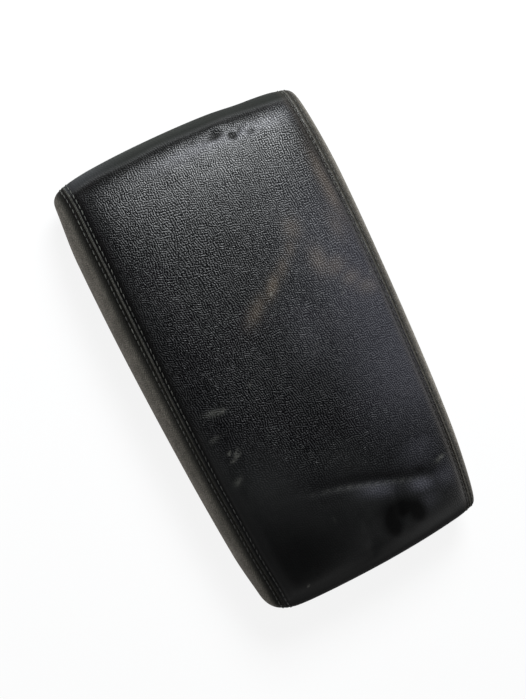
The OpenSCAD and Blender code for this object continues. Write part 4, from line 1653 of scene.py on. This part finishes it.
    def build_hem(self, skin: Material) -> None:
        """Fold the leather's lower edge under the carrier, with pleats at the corners.

        Args:
            skin: The side leather's finish.
        """
        line = np.linspace(-1, 1, self.hem_steps, endpoint=False)
        one = np.ones_like(line)
        us = np.concatenate([line, one, -line, -one, line[:1]])
        vs = np.concatenate([one, -line, -one, line, one[:1]])
        rows = []
        for inset in np.linspace(0, self.hem_width, self.hem_cols):
            x, y = self.form.rim(us, vs, inset)
            reach = np.abs(x) / self.form.half_width + np.abs(y) / self.form.half_length
            corner = step(reach, 1.62, 1.72)
            folds = np.sin(np.arange(len(us)) * self.pleat_turns)
            pleat = self.pleat_depth * corner * folds * inset / self.hem_width
            rows.append(np.stack([x, y, np.full_like(x, self.form.hem) + np.minimum(pleat, 0)], -1))
        points = np.stack(rows, 1)
        shape = np.ones(points.shape[:2])
        marks = {"smooth": 0.5 * shape, "dust_and_light": 0.15 * shape, "scuff_and_highlight": 0 * shape, "shade": 0.2 * shape}
        hem = sheet_mesh("leather_hem", points, marks, closed=True)
        bm = bmesh.new()
        bm.from_mesh(hem.data)
        bmesh.ops.recalc_face_normals(bm, faces=bm.faces)
        bm.to_mesh(hem.data)
        bm.free()
        if sum(face.normal.z for face in hem.data.polygons) > 0:
            hem.data.flip_normals()
        self.thicken(hem)
        self.dressed(hem, skin, "leather_side")


# Foam


@dataclass
class FoamCore:
    """The moulded foam under the leather, pressed in where the leather is, with trenches under the seams."""

    form: PadForm
    seam: SeamProfile
    wear: Wear
    source: Piece
    voxel: float = 3.4
    slip: float = 0.5
    trench: float = 2.8
    trench_width: float = 8.0
    hollow_in: float = 12.0
    hollow_top: float = 34.0
    top_face: tuple[float, float] = (30.0, 40.0)
    held_below: tuple[float, float] = (12.7, 14.5)
    deepest: float = 4.0

    def seam_line(self, side: Side) -> Array:
        """Points of a seam, in millimetres, from front to rear."""
        us = np.linspace(-0.97, 0.97, 160)[:, None]
        return self.form.points(us, np.full((1, 1), self.form.seam_share * side.value))[:, 0]

    def pressed(self, places: Array, normals: Array) -> Array:
        """Press points of the foam in.

        Args:
            places: Points in millimetres.
            normals: Their unit normals.

        Returns:
            The moved points.
        """
        deep = np.full(len(places), self.slip)
        for side in Side:
            line = self.seam_line(side)
            away = np.linalg.norm(places[:, None, :] - line[None], axis=-1).min(1)
            deep += self.trench * bump(away, self.trench_width)
        sunk = np.clip(-self.wear.relief(places), 0, self.deepest) * step(places[:, 2], *self.top_face)
        outer = step(places[:, 2], *self.held_below) * (normals[:, 2] > -0.3)
        across = np.abs(places[:, 0]) < self.form.half_width - self.hollow_in
        along = np.abs(places[:, 1]) < self.form.half_length - self.hollow_in
        outer = outer * ~(across & along & (places[:, 2] < self.hollow_top))
        return places - normals * ((deep + sunk) * outer)[:, None]

    def build(self) -> Piece:
        """Make the foam piece from a copy of the part's own foam solid.

        Returns:
            The piece.
        """
        rough = linked("foam_block", self.source.data.copy())
        rough.matrix_world = self.source.matrix_world
        remesh = rough.modifiers.new("even_faces", "REMESH")
        remesh.mode = "VOXEL"
        remesh.voxel_size = self.voxel * MM
        mesh = bpy.data.meshes.new_from_object(rough.evaluated_get(bpy.context.evaluated_depsgraph_get()))
        mesh.transform(rough.matrix_world)
        bpy.data.objects.remove(rough, do_unlink=True)
        places = np.empty(len(mesh.vertices) * 3)
        mesh.vertices.foreach_get("co", places)
        normals = np.empty(len(mesh.vertices) * 3)
        mesh.vertex_normals.foreach_get("vector", normals)
        moved = self.pressed(places.reshape(-1, 3) / MM, normals.reshape(-1, 3)) * MM
        mesh.vertices.foreach_set("co", moved.ravel())
        mesh.update()
        for face in mesh.polygons:
            face.use_smooth = True
        foam = linked("foam_core", mesh)
        foam.data.materials.clear()
        foam.data.materials.append(FoamFinish().material())
        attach(foam, LID)
        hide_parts("foam_pad")
        LOG.info("%s: %d faces", foam.name, len(mesh.polygons))
        return foam


# Pieces that keep the part's solids


@dataclass
class Fittings:
    """The moulded and metal pieces, which keep the part's solids and get their finishes."""

    nodes: dict[str, Piece]

    def dress(self, material: Material, *names: str) -> None:
        """Put one finish on several CAD nodes.

        Args:
            material: The finish.
            *names: The nodes.
        """
        for name in names:
            obj = self.nodes[name]
            if not obj.material_slots:
                obj.data.materials.append(material)
            for slot in obj.material_slots:
                slot.material = material
            LOG.info("%s: finish %s", name, material.name)

    def build(self) -> None:
        """Finish every node that stays."""
        moulding = PlasticFinish("carrier_moulding", tone(62, 64, 66), 900.0, 0.00003, 0.45)
        tray = PlasticFinish("lower_cover_grain", tone(38, 39, 41))
        catch = PlasticFinish("latch_moulding", tone(30, 31, 33), 1100.0, 0.00004, 0.42)
        plated = MetalFinish("zinc_plate", tone(150, 151, 152))
        bright = MetalFinish("bright_pin", tone(190, 191, 193), 0.22)
        screwed = MetalFinish("screw_plate", tone(170, 171, 174), 0.3)
        self.dress(moulding.material(), "carrier")
        self.dress(tray.material(), "lower_cover")
        self.dress(catch.material(), "latch_housing", "latch_lever")
        self.dress(plated.material(), "hinge_console_leaf", "hinge_lid_leaf", "hinge_backing_plate")
        self.dress(bright.material(), "hinge_pin", "latch_pin", "latch_pin_clip", "latch_spring")
        self.dress(screwed.material(), "cover_screws", "hinge_screws", "latch_screws", "staples")
        self.dress(RubberFinish().material(), *(key for key in self.nodes if key.startswith("rubber_stop")))


# Studio


@dataclass(frozen=True)
class Viewpoint:
    """Where the photograph was taken from, fitted to its outline."""

    lean_left: float = 11.0
    lean_rear: float = 2.41
    roll: float = -25.87
    aim: tuple[float, float, float] = (-7.85, 3.03, 30.0)
    distance: float = 715.55
    lens: float = 56.65

    def build(self) -> Piece:
        """Make the camera and set it as the scene's.

        Returns:
            The camera.
        """
        left, rear = math.radians(self.lean_left), math.radians(self.lean_rear)
        back = Vector((-math.tan(left), math.tan(rear), 1)).normalized()
        right = Vector((0, 1, 0)).cross(back).normalized()
        up = back.cross(right)
        turn = math.radians(self.roll)
        cos, sin = math.cos(turn), math.sin(turn)
        right, up = cos * right + sin * up, -sin * right + cos * up
        data = bpy.data.cameras.new("camera")
        data.lens = self.lens
        data.sensor_width = 36
        data.clip_start = 0.01
        camera = linked("camera", data)
        place = Matrix((right, up, back)).transposed().to_4x4()
        place.translation = Vector(self.aim) * MM + back * self.distance * MM
        camera.matrix_world = place
        bpy.context.scene.camera = camera
        return camera


@dataclass(frozen=True)
class Softbox:
    """A rectangular lamp that looks at a place on the object."""

    name: str
    place: tuple[float, float, float]
    look: tuple[float, float, float]
    size: tuple[float, float]
    watts: float
    colour: Colour = (1.0, 1.0, 1.0)

    def build(self) -> None:
        """Make the lamp."""
        data = bpy.data.lights.new(self.name, "AREA")
        data.shape = "RECTANGLE"
        data.size, data.size_y = self.size
        data.energy = self.watts
        data.color = self.colour
        lamp = linked(self.name, data)
        lamp.location = self.place
        lamp.rotation_euler = (Vector(self.look) - Vector(self.place)).to_track_quat("-Z", "Y").to_euler()


@dataclass(frozen=True)
class Studio:
    """Plain pale floor, soft lamps and the photograph's camera."""

    floor_size: float = 6.0
    floor_shown: float = 0.88
    overhead: float = 0.02

    def floor(self) -> None:
        """Lay the floor, which is white to the camera but keeps a shadow."""
        bm = bmesh.new()
        bmesh.ops.create_grid(bm, x_segments=1, y_segments=1, size=self.floor_size / 2)
        obj = finished("floor", bm)
        board = Board("floor_card")
        light = board.add("ShaderNodeLightPath")
        seen = board.most(light.outputs["Is Camera Ray"], light.outputs["Is Transmission Ray"])
        seen = board.most(seen, light.outputs["Is Glossy Ray"])
        share = board.times(seen, self.floor_shown)
        card = board.add("ShaderNodeBsdfDiffuse")
        card.inputs["Color"].default_value = (0.8, 0.8, 0.8, 1)
        glow = board.add("ShaderNodeEmission")
        glow.inputs["Strength"].default_value = 1.0
        mix = board.add("ShaderNodeMixShader")
        board.feed(mix.inputs[0], share)
        board.feed(mix.inputs[1], card.outputs[0])
        board.feed(mix.inputs[2], glow.outputs[0])
        out = board.add("ShaderNodeOutputMaterial")
        board.feed(out.inputs["Surface"], mix.outputs[0])
        obj.data.materials.append(board.material)

    def sky(self) -> None:
        """Set the world: white all round, which the camera and reflections see, with a dim ceiling."""
        board = Board.of_world("studio_world")
        light = board.add("ShaderNodeLightPath")
        parts = board.add("ShaderNodeSeparateXYZ")
        board.feed(parts.inputs[0], board.add("ShaderNodeTexCoord").outputs["Generated"])
        low = board.span(parts.outputs[2], 0.12, 0.6, 1.0, 0.0)
        strength = board.most(board.most(low, self.overhead), light.outputs["Is Camera Ray"])
        back = board.add("ShaderNodeBackground")
        board.feed(back.inputs["Strength"], strength)
        back.inputs["Color"].default_value = (1, 1, 1, 1)
        out = board.add("ShaderNodeOutputWorld")
        board.feed(out.inputs["Surface"], back.outputs[0])

    def build(self) -> None:
        """Set up floor, sky, lamps and camera."""
        bpy.context.scene.view_settings.view_transform = "Standard"
        self.floor()
        self.sky()
        Softbox("window", (0.43, 0.73, 0.93), (0.0, 0.0, 0.05), (0.56, 0.56), 28.0, (0.95, 0.98, 1.0)).build()
        Viewpoint().build()


def main() -> None:
    """Dress the armrest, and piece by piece."""
    logging.basicConfig(level=logging.INFO, format="%(message)s")
    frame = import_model()
    Studio().build()
    form = PadForm()
    cushion = Cushion(form)
    cushion.settle()
    seam, wear = SeamProfile(), Wear()
    Upholstery(form, seam, wear, cushion).build()
    FoamCore(form, seam, wear, frame["nodes"]["foam_pad"]).build()
    Fittings(frame["nodes"]).build()


if __name__ == "__main__":
    main()
